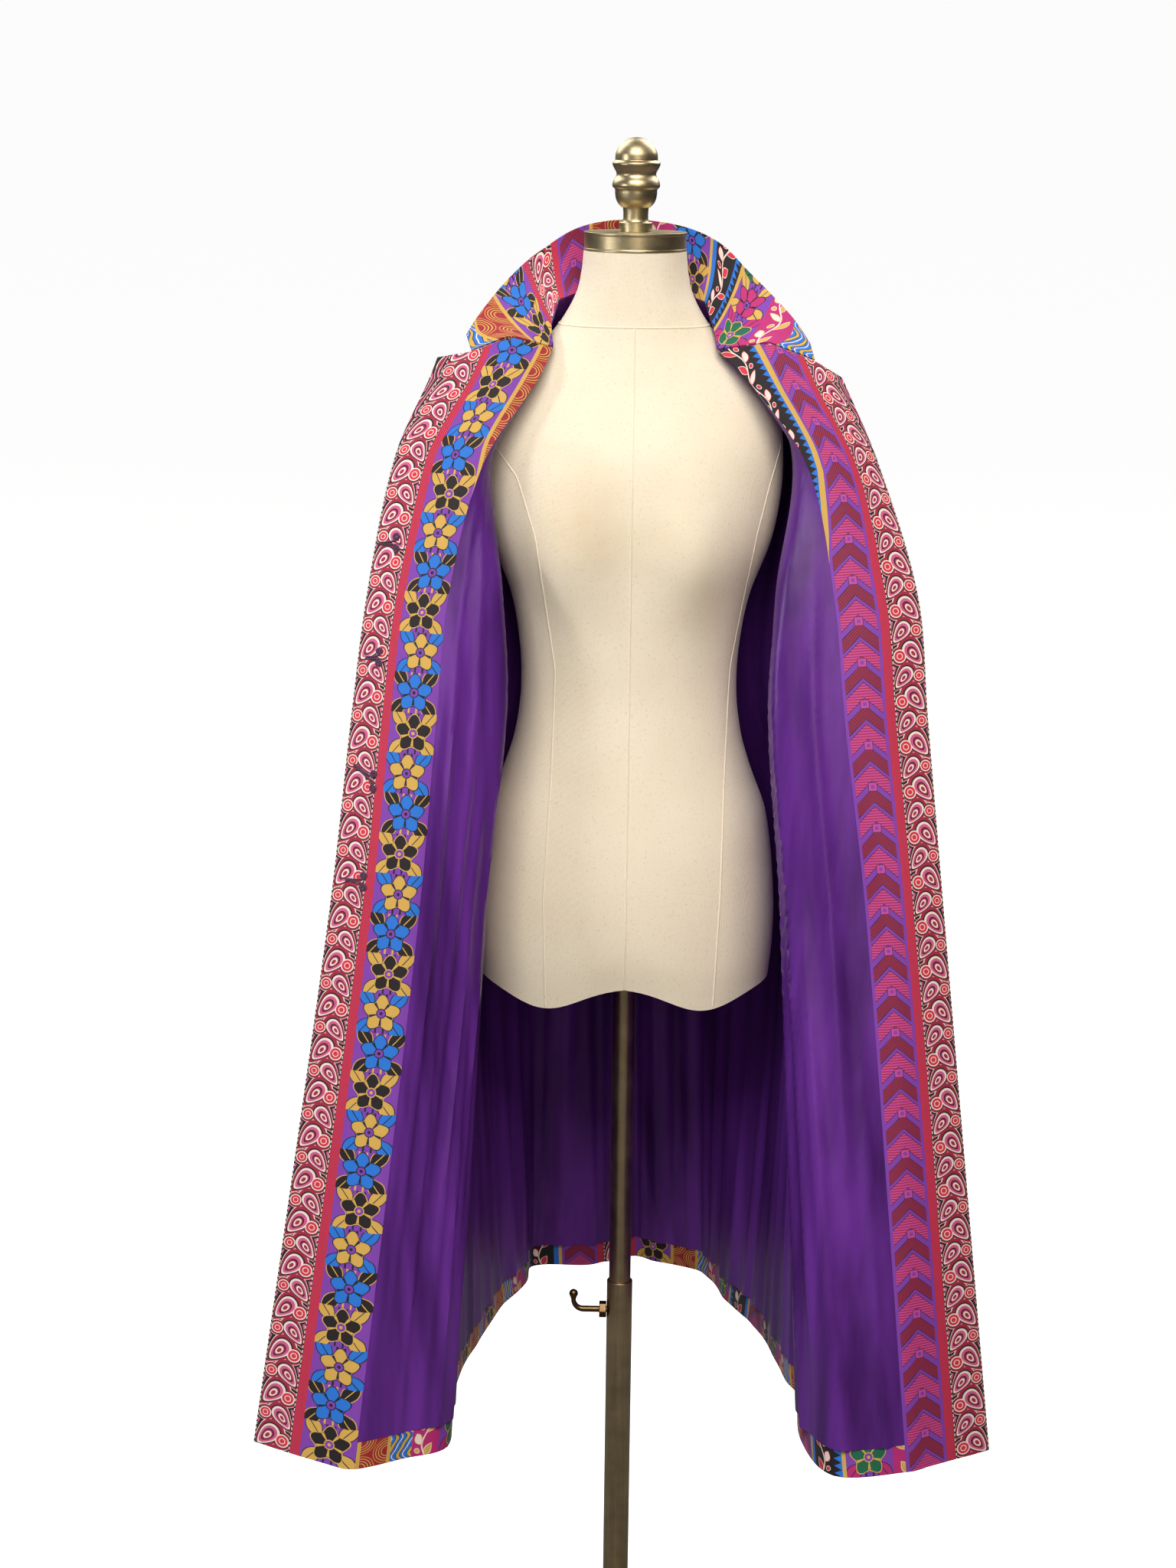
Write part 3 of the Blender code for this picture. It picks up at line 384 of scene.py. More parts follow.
BROCADE_FOLDS = (
    (1.5, 0.70, 0.30, 1.10, 0.3, 0.0022), (6.4, 0.80, 0.28, 1.15, 0.4, 0.0040),
    (8.3, 0.70, 0.28, 1.20, -0.3, -0.0040), (10.3, 0.60, 0.28, 1.05, 0.5, 0.0050),
    (12.2, 0.50, 0.28, 1.22, 0.3, -0.0045), (13.6, 0.45, 0.28, 1.00, -0.2, 0.0050),
    (15.8, 0.45, 0.28, 1.12, 0.3, -0.0050), (17.3, 0.45, 0.28, 0.98, 0.2, 0.0045),
    (18.7, 0.50, 0.28, 1.20, -0.4, -0.0045), (20.2, 0.60, 0.28, 1.08, 0.2, 0.0050),
    (22.1, 0.70, 0.28, 1.18, 0.2, -0.0040), (23.8, 0.80, 0.28, 1.12, -0.3, 0.0035),
    (28.8, 0.70, 0.30, 1.05, -0.3, 0.0022),
)
SATIN_FOLDS = (
    (3.18, 0.10, 0.40, 1.30, 0.05, 0.0020), (3.45, 0.13, 0.50, 1.40, 0.10, 0.0042),
    (3.80, 0.10, 0.34, 1.06, -0.15, 0.0036), (4.05, 0.16, 0.62, 1.38, 0.20, 0.0050),
    (4.40, 0.11, 0.40, 1.10, 0.20, 0.0044), (4.62, 0.14, 0.32, 0.92, -0.10, 0.0050),
    (4.90, 0.10, 0.56, 1.24, 0.15, 0.0036), (5.15, 0.17, 0.34, 1.16, 0.25, 0.0056),
    (5.55, 0.12, 0.32, 0.90, 0.10, 0.0042), (5.90, 0.14, 0.40, 1.05, -0.20, 0.0044),
    (6.30, 0.20, 0.32, 0.92, 0.20, 0.0054), (6.90, 0.14, 0.32, 0.80, 0.10, 0.0040),
    (7.40, 0.26, 0.32, 1.05, -0.20, 0.0056), (8.10, 0.18, 0.32, 0.84, 0.10, 0.0044),
    (8.70, 0.30, 0.32, 0.92, 0.15, 0.0056), (9.40, 0.20, 0.32, 0.80, 0.20, 0.0046),
    (9.90, 0.14, 0.32, 0.98, -0.10, 0.0040), (10.5, 0.26, 0.32, 0.86, 0.10, 0.0056),
    (11.1, 0.14, 0.32, 0.96, 0.20, 0.0040), (11.6, 0.22, 0.32, 0.84, -0.15, 0.0052),
    (12.1, 0.14, 0.32, 1.00, 0.10, 0.0046), (12.6, 0.22, 0.32, 0.90, 0.20, 0.0056),
    (13.2, 0.15, 0.32, 0.80, -0.20, 0.0042), (13.7, 0.20, 0.32, 1.04, 0.10, 0.0052),
    (14.3, 0.16, 0.32, 0.84, 0.20, 0.0046), (14.8, 0.22, 0.32, 0.98, -0.10, 0.0056),
    (15.4, 0.15, 0.32, 0.82, 0.15, 0.0044), (15.9, 0.20, 0.32, 0.96, -0.20, 0.0052),
    (16.5, 0.14, 0.32, 0.84, 0.10, 0.0042), (17.0, 0.22, 0.32, 1.00, 0.20, 0.0056),
    (17.6, 0.16, 0.32, 0.86, -0.10, 0.0044), (18.1, 0.22, 0.32, 0.98, 0.10, 0.0054),
    (18.7, 0.15, 0.32, 0.84, -0.20, 0.0044), (19.3, 0.26, 0.32, 0.94, 0.20, 0.0056),
    (20.0, 0.18, 0.32, 0.84, 0.10, 0.0044), (20.7, 0.26, 0.32, 1.00, -0.10, 0.0054),
    (21.4, 0.20, 0.32, 0.88, 0.20, 0.0046), (22.1, 0.26, 0.32, 0.96, 0.10, 0.0054),
    (22.8, 0.18, 0.32, 0.86, -0.20, 0.0046), (23.5, 0.24, 0.32, 1.04, 0.15, 0.0052),
    (24.1, 0.14, 0.36, 0.94, 0.10, 0.0042), (24.55, 0.12, 0.42, 1.18, -0.15, 0.0036),
    (24.95, 0.18, 0.32, 1.00, 0.10, 0.0044), (25.38, 0.15, 0.30, 1.24, 0.15, 0.0105),
    (25.75, 0.12, 0.50, 1.26, 0.10, 0.0070), (26.1, 0.16, 0.34, 0.98, -0.20, 0.0080),
    (26.5, 0.11, 0.62, 1.34, 0.10, 0.0050), (26.72, 0.10, 0.32, 0.86, 0.05, 0.0040),
)
coat_station = np.arange(coat.shape[0]) / FINE
fall = fold_depth(BROCADE_FOLDS, coat_station[:, None], coat[:, :, 2])
coat = coat + outward(coat) * fall[:, :, None]
coat_outward = outward(coat)
print(len(BROCADE_FOLDS), "folds in the brocade and", len(SATIN_FOLDS), "in the satin")

# %% [markdown]
# A tailor cuts cloth flat along its stripes and hangs it afterwards, so these pieces are made
# the same way. Cut lines run up the cloth at fixed distances from the front edge; where a panel
# is narrower than a line's distance, the line stops at the seam, as scissors would stop it.

# %% Cut a piece flat, then hang it
LINE_STEP = 0.0085      # widest strip of brocade between two cut lines
SATIN_STEP = 0.0036     # the satin's folds are narrower, so its strips are too
LAPEL_REACH = 0.05      # a first stripe may be this much wider where a lapel flares
SLIVER = 1e-6           # a strip thinner than this isn't cut
WELD = 2e-5             # points nearer than this are one, where a line stops at a seam
SHELL = (0.0, 0.0014)   # inner and outer face of the shell, measured from the coat's surface
UNDER = (-0.0014, -0.0003)
RIM_ROUNDING, RIM_STEPS = 0.0005, 2
CREASE_ANGLE, RIM_ANGLE = 50, 60    # degrees at which cloth is drawn sharp, and is rounded


def cut_lines(bands, low, high, widest):
    """Cut lines with every band's edge among them, and the band between each two."""
    lines, owners = [low], []
    total = sum(width for _, width in bands)
    start = 0.0 if low > -LAPEL_REACH else math.floor(low / total) * total
    while start < high:
        for index, (_, width) in enumerate(bands):
            stop = start + width
            a, b = low if not owners else max(start, low), min(stop, high)
            if b - a > SLIVER:
                steps = max(1, math.ceil((b - a) / widest))
                lines += [a + (b - a) * k / steps for k in range(1, steps + 1)]
                owners += [(index, start)] * steps
            start = stop
    return np.array(lines), owners


def hang(points, directions, bands, offset=0.0, layer=SHELL, ease=1.0, station=None):
    """Lay a cut piece on part of the coat; with stations given, let it fall in satin's folds."""
    moved = points + directions * layer[0]
    rows = points.shape[1]
    offset = np.broadcast_to(offset, rows)
    along = lengths_from_start(np.linalg.norm(np.diff(points, axis=0), axis=2) * ease)
    widest = LINE_STEP if station is None else SATIN_STEP
    lines, owners = cut_lines(bands, float(offset.min()), float((offset + along[-1]).max()), widest)
    places, facing = np.empty((2, len(lines), rows, 3))
    across = np.empty((len(lines), rows))
    for r in range(rows):
        spot = np.clip(lines - offset[r], 0.0, along[-1, r])
        across[:, r] = spot + offset[r]
        for i in range(3):
            places[:, r, i] = np.interp(spot, along[:, r], moved[:, r, i])
            facing[:, r, i] = np.interp(spot, along[:, r], directions[:, r, i])
        if station is not None:
            here = np.interp(spot, along[:, r], station)
            sag = fold_depth(SATIN_FOLDS, here, places[:, r, 2])
            places[:, r] -= facing[:, r] * sag[:, None]
    facing /= np.linalg.norm(facing, axis=2, keepdims=True)
    upward = lengths_from_start(np.linalg.norm(np.diff(places, axis=1), axis=2).T).T
    return places, facing, across, upward, owners


def flat_grid(columns, rows):
    """A flat grid whose points know their column and row."""
    bm = bmesh.new()
    tags = [bm.verts.layers.int.new(name) for name in ("column", "row")]
    bmesh.ops.create_grid(bm, x_segments=columns - 1, y_segments=rows - 1, size=1.0)
    for vert in bm.verts:
        for tag, place, count in zip(tags, vert.co, (columns, rows)):
            vert[tag] = round((place + 1.0) / 2.0 * (count - 1))
    return bm, *tags


def points_of(made):
    """The points among what an operator made."""
    return [item for item in made if isinstance(item, bmesh.types.BMVert)]


def rounded(piece, width, segments, degrees):
    """Round a piece's sharp edges a little."""
    edge = piece.modifiers.new("rounded edges", "BEVEL")
    edge.width, edge.segments = width, segments
    edge.limit_method, edge.angle_limit = "ANGLE", math.radians(degrees)


def sew(name, cut, bands, layer, replaced, round_rim=True):
    """Turn a hung piece into a cloth wall with its bands' materials, riding on the form."""
    places, facing, across, upward, owners = cut
    bm, column_tag, row_tag = flat_grid(*places.shape[:2])
    direction_tag = bm.verts.layers.float_vector.new("direction")
    uv = bm.loops.layers.uv.new("cloth")
    for vert in bm.verts:
        spot = (vert[column_tag], vert[row_tag])
        vert.co = places[spot]
        vert[direction_tag] = facing[spot]
    for face in bm.faces:
        face.material_index, start = owners[min(vert[column_tag] for vert in face.verts)]
        face.smooth = True
        for loop in face.loops:
            spot = (loop.vert[column_tag], loop.vert[row_tag])
            loop[uv].uv = (across[spot] - start, upward[spot])
    bmesh.ops.remove_doubles(bm, verts=bm.verts[:], dist=WELD)
    area = sum(face.calc_area() for face in bm.faces)
    raised = bmesh.ops.extrude_face_region(bm, geom=bm.faces[:], use_keep_orig=True)["geom"]
    for vert in points_of(raised):
        vert.co += vert[direction_tag] * (layer[1] - layer[0])
    bmesh.ops.recalc_face_normals(bm, faces=bm.faces[:])
    mesh = bpy.data.meshes.new(name)
    bm.to_mesh(mesh)
    bm.free()
    for finish, _ in bands:
        mesh.materials.append(finish)
    mesh.set_sharp_from_angle(angle=math.radians(CREASE_ANGLE))
    piece = new_object(name, mesh)
    if round_rim:
        rounded(piece, RIM_ROUNDING, RIM_STEPS, RIM_ANGLE)
    tell_frame(piece, "figure", replaced)
    print(name, "area", round(area, 4), "width", round(float(np.ptp(across)), 3),
          "length", round(float(upward.max()), 3), "triangles", 2 * len(mesh.polygons))


def panel(name, grid, bands, slot, replaced, layer=SHELL, **how):
    """Cut, hang and sew one panel."""
    cut = hang(*grid, bands, layer=layer, **how)
    sew(name, cut, bands, layer, replaced, round_rim="station" not in how)

# %% [markdown]
# Brocade is woven in stripes, and every stripe has its own figures in a few thread colours.
# Each stripe is a material of its own. Its figures are drawn with arithmetic on the cloth's
# own flat map, in millimetres: a figure is a field that is below nought inside its outline.

# %% Arithmetic on the cloth's map
class Field:
    """A number that varies over the cloth, on which ordinary signs work."""

    def __init__(self, socket):
        self.socket = socket

    def use(self, operation, *others):
        """A Math node of this field and others."""
        inputs = dict(enumerate((self, *others)))
        return Field(new_node(self.socket.id_data, "Math", inputs, operation=operation).outputs[0])

    __add__ = partialmethod(use, "ADD")
    __sub__ = partialmethod(use, "SUBTRACT")
    __mul__ = partialmethod(use, "MULTIPLY")
    __truediv__ = partialmethod(use, "DIVIDE")
    size = partialmethod(use, "ABSOLUTE")       # the number without its sign
    below = partialmethod(use, "LESS_THAN")     # one where this field is below the other
    least = partialmethod(use, "MINIMUM")
    most = partialmethod(use, "MAXIMUM")
    whole = partialmethod(use, "FLOOR")
    rest = partialmethod(use, "FRACT")
    turn = partialmethod(use, "FLOORED_MODULO")
    zigzag = partialmethod(use, "PINGPONG")     # up and down between nought and a height

    def around(self, middle, pitch):
        """Distance from the nearest of a row of places that repeats."""
        return (self - middle).use("WRAP", pitch / 2, -pitch / 2)

    def near(self, middle, half):
        """One where the field is within a half width of a middle."""
        return (self - middle).size().below(half)

    def wave(self, length):
        """A sine of this length."""
        return (self * (math.tau / length)).use("SINE")


def split(socket):
    """The parts of a vector, as fields."""
    node = new_node(socket.id_data, "SeparateXYZ", {0: socket})
    return [Field(output) for output in node.outputs]


def cloth_map(tree):
    """The cloth's flat map, whole and as two fields in millimetres."""
    place = new_node(tree, "UVMap", {}, uv_map="cloth").outputs["UV"]
    x, y, _ = split(place)
    return place, x * 1000.0, y * 1000.0


def object_axes(tree):
    """The object's own coordinates, whole and as three fields."""
    place = new_node(tree, "TexCoord", {}).outputs["Object"]
    return place, *split(place)


def noise(vector, scale, detail=2.0):
    """A noise field on given coordinates."""
    inputs = {"Scale": scale, "Detail": detail, "Vector": vector}
    return Field(new_node(vector.id_data, "TexNoise", inputs).outputs["Fac"])


def stretched(place, scale):
    """Coordinates, each multiplied by its own number."""
    return new_node(place.id_data, "Mapping", {"Scale": scale, "Vector": place}).outputs["Vector"]


def blend(share, first, second, kind="MIX"):
    """A mix of two colours, each a plain one or a socket."""
    inputs = {"Factor": share, 6: first, 7: second}
    tree = (share if isinstance(share, Field) else second).socket.id_data
    return new_node(tree, "Mix", inputs, data_type="RGBA", blend_type=kind).outputs[2]


def raise_surface(shader, height, strength, distance):
    """Let a field stand up from a material's surface."""
    inputs = {"Height": height, "Strength": strength, "Distance": distance}
    fill(shader, {"Normal": new_node(shader.id_data, "Bump", inputs).outputs["Normal"]})


def turned(x, y, degrees):
    """The two fields, turned about nought."""
    c, s = math.cos(math.radians(degrees)), math.sin(math.radians(degrees))
    return x * c + y * s, y * c - x * s


def far(x, y):
    """Distance from nought."""
    return (x * x + y * y).use("SQRT")


def drop(x, y, length, width, taper):
    """Nought in the middle and one on a paisley's outline."""
    wide = x * (taper / length) + 1.0
    return far(x / length, y / (wide * width))


def leaf(x, y, length, width):
    """Below nought inside a leaf with two points."""
    long = x / length
    return y.size() - (long * long * -1.0 + 1.0) * width


def lobes(x, y, petals):
    """One on the middle of each petal round nought, the first of them upright."""
    return (y.use("ARCTAN2", x) * petals - math.pi / 2).use("COSINE")


# %% Thread colours
def srgb(red, green, blue):
    """A colour from its usual 0 to 255 numbers, made linear."""
    shares = (value / 255 for value in (red, green, blue))
    return (*(s / 12.92 if s <= 0.04045 else ((s + 0.055) / 1.055) ** 2.4 for s in shares), 1.0)


THREADS = {
    "violet": srgb(122, 60, 168), "plum": srgb(70, 30, 84), "rose": srgb(201, 88, 140),
    "crimson": srgb(158, 34, 66), "red": srgb(205, 46, 70), "black": srgb(26, 17, 22),
    "cream": srgb(232, 214, 206), "gold": srgb(204, 164, 78), "blue": srgb(32, 112, 208),
    "navy": srgb(24, 26, 60), "green": srgb(22, 98, 70), "magenta": srgb(178, 36, 112),
    "rust": srgb(168, 62, 40), "brick": srgb(156, 34, 48), "orchid": srgb(190, 70, 148),
}
THREAD_TONE = 0.10      # how much one thread's colour differs from the next
TWILL_PITCH = 1.15      # millimetres from one diagonal rib to the next
THREAD_PITCH = 0.55
THREAD_GRAIN = 900.0
RIB_HEIGHT, THREAD_HEIGHT, FIGURE_HEIGHT = 0.7, 0.3, 1.6    # in parts of the cloth's relief
CLOTH_RELIEF = 0.0002


class Stripe:
    """One stripe of brocade while its figures are drawn."""

    def __init__(self, name, ground):
        self.material, tree, self.shader = new_material(name, {
            "Roughness": 0.62, "Sheen Weight": 0.12, "Sheen Roughness": 0.4,
            "Specular IOR Level": 0.35})
        self.map, self.x, self.y = cloth_map(tree)
        self.colour = THREADS[ground]

    def paint(self, mask, colour):
        """Lay a thread colour, or a picked one, where the mask is one."""
        if isinstance(colour, str):
            colour = THREADS[colour]
        self.colour = blend(mask, self.colour, colour)

    def pick(self, number, colours):
        """The colour of a list that a whole number points at."""
        picked = THREADS[colours[0]]
        for k, colour in enumerate(colours[1:], start=1):
            picked = blend(number.near(float(k), 0.5), picked, THREADS[colour])
        return picked

    def finish(self, strength=0.35, relief=None):
        """Add the twill's ribs and the threads' tones, and return the material."""
        ribs = (self.x + self.y).wave(TWILL_PITCH * math.sqrt(2))
        height = ribs * RIB_HEIGHT + self.y.wave(THREAD_PITCH) * THREAD_HEIGHT
        if relief is not None:
            height = height + relief * FIGURE_HEIGHT
        grain = noise(self.map, THREAD_GRAIN)
        tone = ribs * (THREAD_TONE * 0.5) + grain * (THREAD_TONE * 2.0) + (1.0 - THREAD_TONE)
        fill(self.shader, {"Base Color": blend(1.0, self.colour, tone, "MULTIPLY")})
        raise_surface(self.shader, height, strength, CLOTH_RELIEF)
        return self.material

# %% [markdown]
# The stripes hold well known kinds of figure: paisleys and rings, round flowers with leaves,
# scallops, waves, saw teeth and hatched zigzags. They are drawn afresh here, in the colours
# and sizes of the coat's cloth, and laid out in an order of their own.

# %% Rose stripe of paisleys and rings
ROSE_WIDTH = 0.036
ROSE_PITCH = 46.0       # lengths inside a stripe are in millimetres


def rose_stripe():
    """Black ground, echoing crimson lines, and cream outlined paisleys."""
    made = Stripe("rose_paisley", "black")
    half = ROSE_WIDTH * 500.0

    def spot(across, up):
        """Fields about a place that comes again in every repeat."""
        return made.x - across, made.y.around(up, ROSE_PITCH)

    large = drop(*turned(*spot(12.5, 12.0), 52), 13.5, 8.0, 0.42)
    small = drop(*turned(*spot(24.5, 34.0), -48), 12.5, 6.6, -0.45)
    ring = far(*spot(27.5, 10.0)) / 6.8
    bud = far(*spot(7.5, 35.5)) / 5.8
    drops, rounds = large.least(small), ring.least(bud)
    nearest = drops.least(rounds)
    echo = (nearest - 1.0) / 0.62
    step = echo.rest()
    made.paint(step.near(0.40, 0.21), made.pick(echo.whole().turn(2.0), ("crimson", "rose")))
    made.paint(step.near(0.66, 0.06), "cream")
    for outer, colour in (
            (1.14, "black"), (1.02, "cream"), (0.84, "rose"), (0.60, "black"), (0.50, "crimson")):
        made.paint(nearest.below(outer), colour)
    made.paint(rounds.below(0.82), "red")
    made.paint(rounds.near(0.42, 0.06), "cream")
    made.paint(drops.near(0.30, 0.08), "cream")
    edge = ((made.x - half).size() - half + 0.75).size()
    dashes = made.y.zigzag(2.6).below(1.55)
    made.paint(edge.below(0.75), "black")
    made.paint(edge.below(0.42).least(dashes), "cream")
    return made.finish(relief=nearest.below(0.98))


# %% Plain twill stripes
def twill_stripe(name, thread):
    """One thread colour in a twill that shows its diagonal ribs."""
    made = Stripe(name, thread)
    lines = (made.x + made.y).wave(2.4)
    made.paint(lines.below(-0.72), "plum" if thread == "red" else thread)
    return made.finish(strength=0.45)


# %% Flower stripes
FLOWER_WIDTH = 0.050
FLOWER_PITCH = 41.0
FLOWER_SWAY = 1.5       # flowers stand this far left and right of the middle by turns
PETALS = 5.0


def flower_stripe(name, petals, outlines, leaves, veins):
    """Round five-petalled flowers with four leaves each, in turning colours, on violet."""
    made = Stripe(name, "violet")
    number = (made.y / FLOWER_PITCH).whole()
    turn = number.turn(3.0)
    px = made.x - FLOWER_WIDTH * 500.0 + (number.turn(2.0) * (2 * FLOWER_SWAY) - FLOWER_SWAY)
    py = made.y - number * FLOWER_PITCH - FLOWER_PITCH / 2
    sides = px.size()
    lower = turned(sides - 16.4, py.size() - 15.6, 52)
    blade = leaf(*lower, 12.4, 6.8)
    made.paint(blade.below(0.9), made.pick(turn, veins))
    made.paint(blade.below(0.0), made.pick(turn, leaves))
    made.paint(lower[1].size().below(0.45).least(blade.below(-0.6)), made.pick(turn, veins))
    stem = sides.near(4.0, 1.0).least((py.size() * -1.0).below(-15.0))
    made.paint(stem, made.pick(turn, veins))
    flower = far(px, py) - (lobes(px, py, PETALS) * 3.0 + 16.0)
    made.paint(flower.below(1.1), made.pick(turn, outlines))
    made.paint(flower.below(0.0), made.pick(turn, petals))
    rays = (lobes(px, py, PETALS) + 1.0) * 3.4
    heart = far(px, py)
    between = rays.below(0.55).least((heart * -1.0).below(-5.0)).least(flower.below(-0.4))
    made.paint(between, made.pick(turn, outlines))
    made.paint(heart.below(5.2), made.pick(turn, outlines))
    made.paint(heart.below(4.2), "violet")
    made.paint(heart.below(1.7), made.pick(turn, outlines))
    return made.finish(relief=flower.least(blade).below(0.9))


# %% Scallops, waves, saw teeth
def scallop_stripe():
    """Fans of gold lines on red, back to back along both edges."""
    made = Stripe("red_scallop", "brick")
    width, pitch = 30.0, 28.0
    near = far(made.x, made.y.around(0.0, pitch) * 1.25)
    both = near.least(far(made.x - width, made.y.around(pitch / 2, pitch) * 1.25))
    made.paint((both / 3.1).rest().below(0.34).least(both.below(17.0)), "gold")
    made.paint(both.below(5.5), "brick")
    made.paint(both.near(16.6, 0.5), "rust")
    return made.finish()


def wave_stripe():
    """Curling bands of blue, gold and cream."""
    made = Stripe("blue_wave", "blue")
    bend = made.x + made.y.wave(30.0) * 5.0 + (made.y * 2.0).wave(30.0) * 1.4
    bands = (bend / 13.0).rest()
    made.paint(bands.below(0.30), "gold")
    for middle, half, colour in (
            (0.31, 0.035, "navy"), (0.60, 0.05, "cream"), (0.97, 0.035, "navy")):
        made.paint(bands.near(middle, half), colour)
    return made.finish()


def tooth_stripe():
    """Blue saw teeth on black."""
    made = Stripe("blue_tooth", "black")
    slope = made.y.zigzag(3.8) * (7.8 / 3.8)
    made.paint(made.x.below(slope + 0.6), "blue")
    return made.finish()


# %% Leaf garlands
def garland_stripe(name, ground, first, second):
    """Pairs of leaves along a waving stem."""
    made = Stripe(name, ground)
    width, pitch = 30.0, 24.0
    bend = made.x - width / 2 + made.y.wave(2 * pitch) * 4.0
    up = leaf(*turned(bend - 5.5, made.y.around(6.0, pitch), 50), 7.6, 3.1)
    down = leaf(*turned(bend + 5.5, made.y.around(18.0, pitch), 130), 7.6, 3.1)
    bead = far(bend + 6.0, made.y.around(6.0, pitch)) - 2.3
    made.paint(bend.size().below(0.8), second)
    for figure, colour, line in ((up, first, second), (down, second, first), (bead, first, second)):
        made.paint(figure.below(0.7), line)
        made.paint(figure.below(0.0), colour)
    return made.finish(relief=up.least(down).below(0.7))


# %% Hatched zigzag stripe
HATCH_WIDTH = 0.043
HATCH_PITCH = 42.0


def hatch_stripe():
    """Chevrons on violet, hatched in crimson and plum by turns, with a small square between."""
    made = Stripe("violet_hatch", "violet")
    half_width = HATCH_WIDTH * 500.0
    side = (made.x - half_width).size()
    step = ((made.y + side * 0.9) / HATCH_PITCH).rest()
    inside = side.below(half_width - 3.2)
    level = (made.y / 2.7).rest().below(0.42)
    slant = ((made.x + made.y) / 3.2).rest().below(0.42)
    for middle, half, thread, hatching, lines in (
            (0.20, 0.19, "orchid", "crimson", level), (0.66, 0.17, "brick", "plum", slant)):
        band = (step - middle).size()
        chevron = band.below(half).least(inside)
        made.paint(chevron, thread)
        made.paint(chevron.least(lines), hatching)
        made.paint(band.near(half, 0.011).least(inside), "plum")
    square = side.most(made.y.around(0.86 * HATCH_PITCH, HATCH_PITCH).size())
    for outer, colour in ((4.6, "plum"), (4.0, "orchid"), (1.8, "violet")):
        made.paint(square.below(outer), colour)
    return made.finish()


# %% The repeat of the cloth
RED_WIDTH, GOLD_WIDTH = 0.0095, 0.004
ROSE = rose_stripe(), ROSE_WIDTH
RED = twill_stripe("red_twill", "red"), RED_WIDTH
GOLD = twill_stripe("gold_twill", "gold"), GOLD_WIDTH
BLUE = twill_stripe("blue_twill", "blue"), 0.006
VIOLET_FLOWERS = flower_stripe(
    "violet_flowers", ("black", "blue", "gold"), ("gold", "black", "navy"),
    ("gold", "black", "blue"), ("navy", "gold", "black")), FLOWER_WIDTH
GREEN_FLOWERS = flower_stripe(
    "plum_flowers", ("green", "magenta", "gold"), ("gold", "black", "navy"),
    ("magenta", "gold", "green"), ("navy", "plum", "black")), FLOWER_WIDTH
SCALLOP = scallop_stripe(), 0.030
WAVE = wave_stripe(), 0.025
TOOTH = tooth_stripe(), 0.010
MAGENTA_LEAVES = garland_stripe("magenta_leaves", "magenta", "gold", "cream"), 0.030
DARK_LEAVES = garland_stripe("dark_leaves", "black", "red", "cream"), 0.030
HATCH = hatch_stripe(), HATCH_WIDTH
REPEAT = (
    ROSE, RED, VIOLET_FLOWERS, GOLD, SCALLOP, GOLD, WAVE, MAGENTA_LEAVES, GREEN_FLOWERS, GOLD,
    TOOTH, DARK_LEAVES, BLUE, GOLD, HATCH, RED)
print("the cloth repeats every", round(sum(width for _, width in REPEAT), 4), "m")

# %% [markdown]
# The shell is three panels. Their stripes run straight up from the hem, so they are cut along
# lines measured from the front edges, and on the back from the middle, where no seam runs.

# %% Shell panels
EDGE_FLARE = 0.013      # how far a lapel's top reaches past the line of its front edge
LAPEL_START, LAPEL_RISE = 1.40, 0.10
BACK_SHIFT = 0.070      # the line down the back's middle stands so far along the repeat
lapel_share = np.clip((coat[0, :, 2] - LAPEL_START) / LAPEL_RISE, 0.0, 1.0)
edge_offset = -EDGE_FLARE * lapel_share


def part(first, last, low_row=0, high_row=None):
    """The coat's points and directions between two stations, counted towards the second."""
    start, end = column_of(first), column_of(last)
    columns = list(range(start, end + 1)) if start < end else list(range(start, end - 1, -1))
    return coat[columns, low_row:high_row], coat_outward[columns, low_row:high_row]


def back_offset(low_row=0, high_row=None):
    """Distance of the back's right seam from the line down its middle."""
    points, _ = part("right_side", "nape", low_row, high_row)
    return -np.linalg.norm(np.diff(points, axis=0), axis=2).sum(axis=0)


RIGHT_FRONT, LEFT_FRONT = ("right_edge", "right_side"), ("left_edge", "left_side")
BACK = ("right_side", "left_side")
for name, stations, offset, node in (
        ("coat_front_right", RIGHT_FRONT, edge_offset, "front_right"),
        ("coat_front_left", LEFT_FRONT, edge_offset, "front_left"),
        ("coat_back", BACK, back_offset() + BACK_SHIFT, "back")):
    panel(name, part(*stations), REPEAT, "brocade_shell", node, offset=offset)

# %% Facings and lapels
LAST_BAND = (GOLD[0], 0.200)     # wide enough for what is left at the gorge
RIGHT_FACING = (ROSE, RED, VIOLET_FLOWERS, GOLD, SCALLOP, LAST_BAND)
LEFT_FACING = (ROSE, RED, HATCH, (GOLD[0], 0.007), TOOTH, DARK_LEAVES, LAST_BAND)


def facing_ease(points, seam_spot, low, heights, eases):
    """How much the stripes draw in, so that low down the seam follows one of them."""
    width = np.linalg.norm(np.diff(points, axis=0), axis=2).sum(axis=0)
    height = points[0, :, 2]
    share = np.clip((height - low) / (heights[0] - low), 0.0, 1.0)
    return (1 - share) * seam_spot / width + share * np.interp(height, heights, eases)


for side, bands, how in (
        ("right", RIGHT_FACING, (0.0955, 1.27, (1.40, 1.60), (1.0, 1.0))),
        ("left", LEFT_FACING, (0.0885, 1.30, (1.37, 1.48, 1.52), (1.20, 1.12, 1.0)))):
    grid = part(side + "_edge", side + "_seam")
    panel(f"facing_{side}_front", grid, bands, "brocade_facing", "facing_" + side, UNDER,
          offset=edge_offset, ease=facing_ease(grid[0], *how))

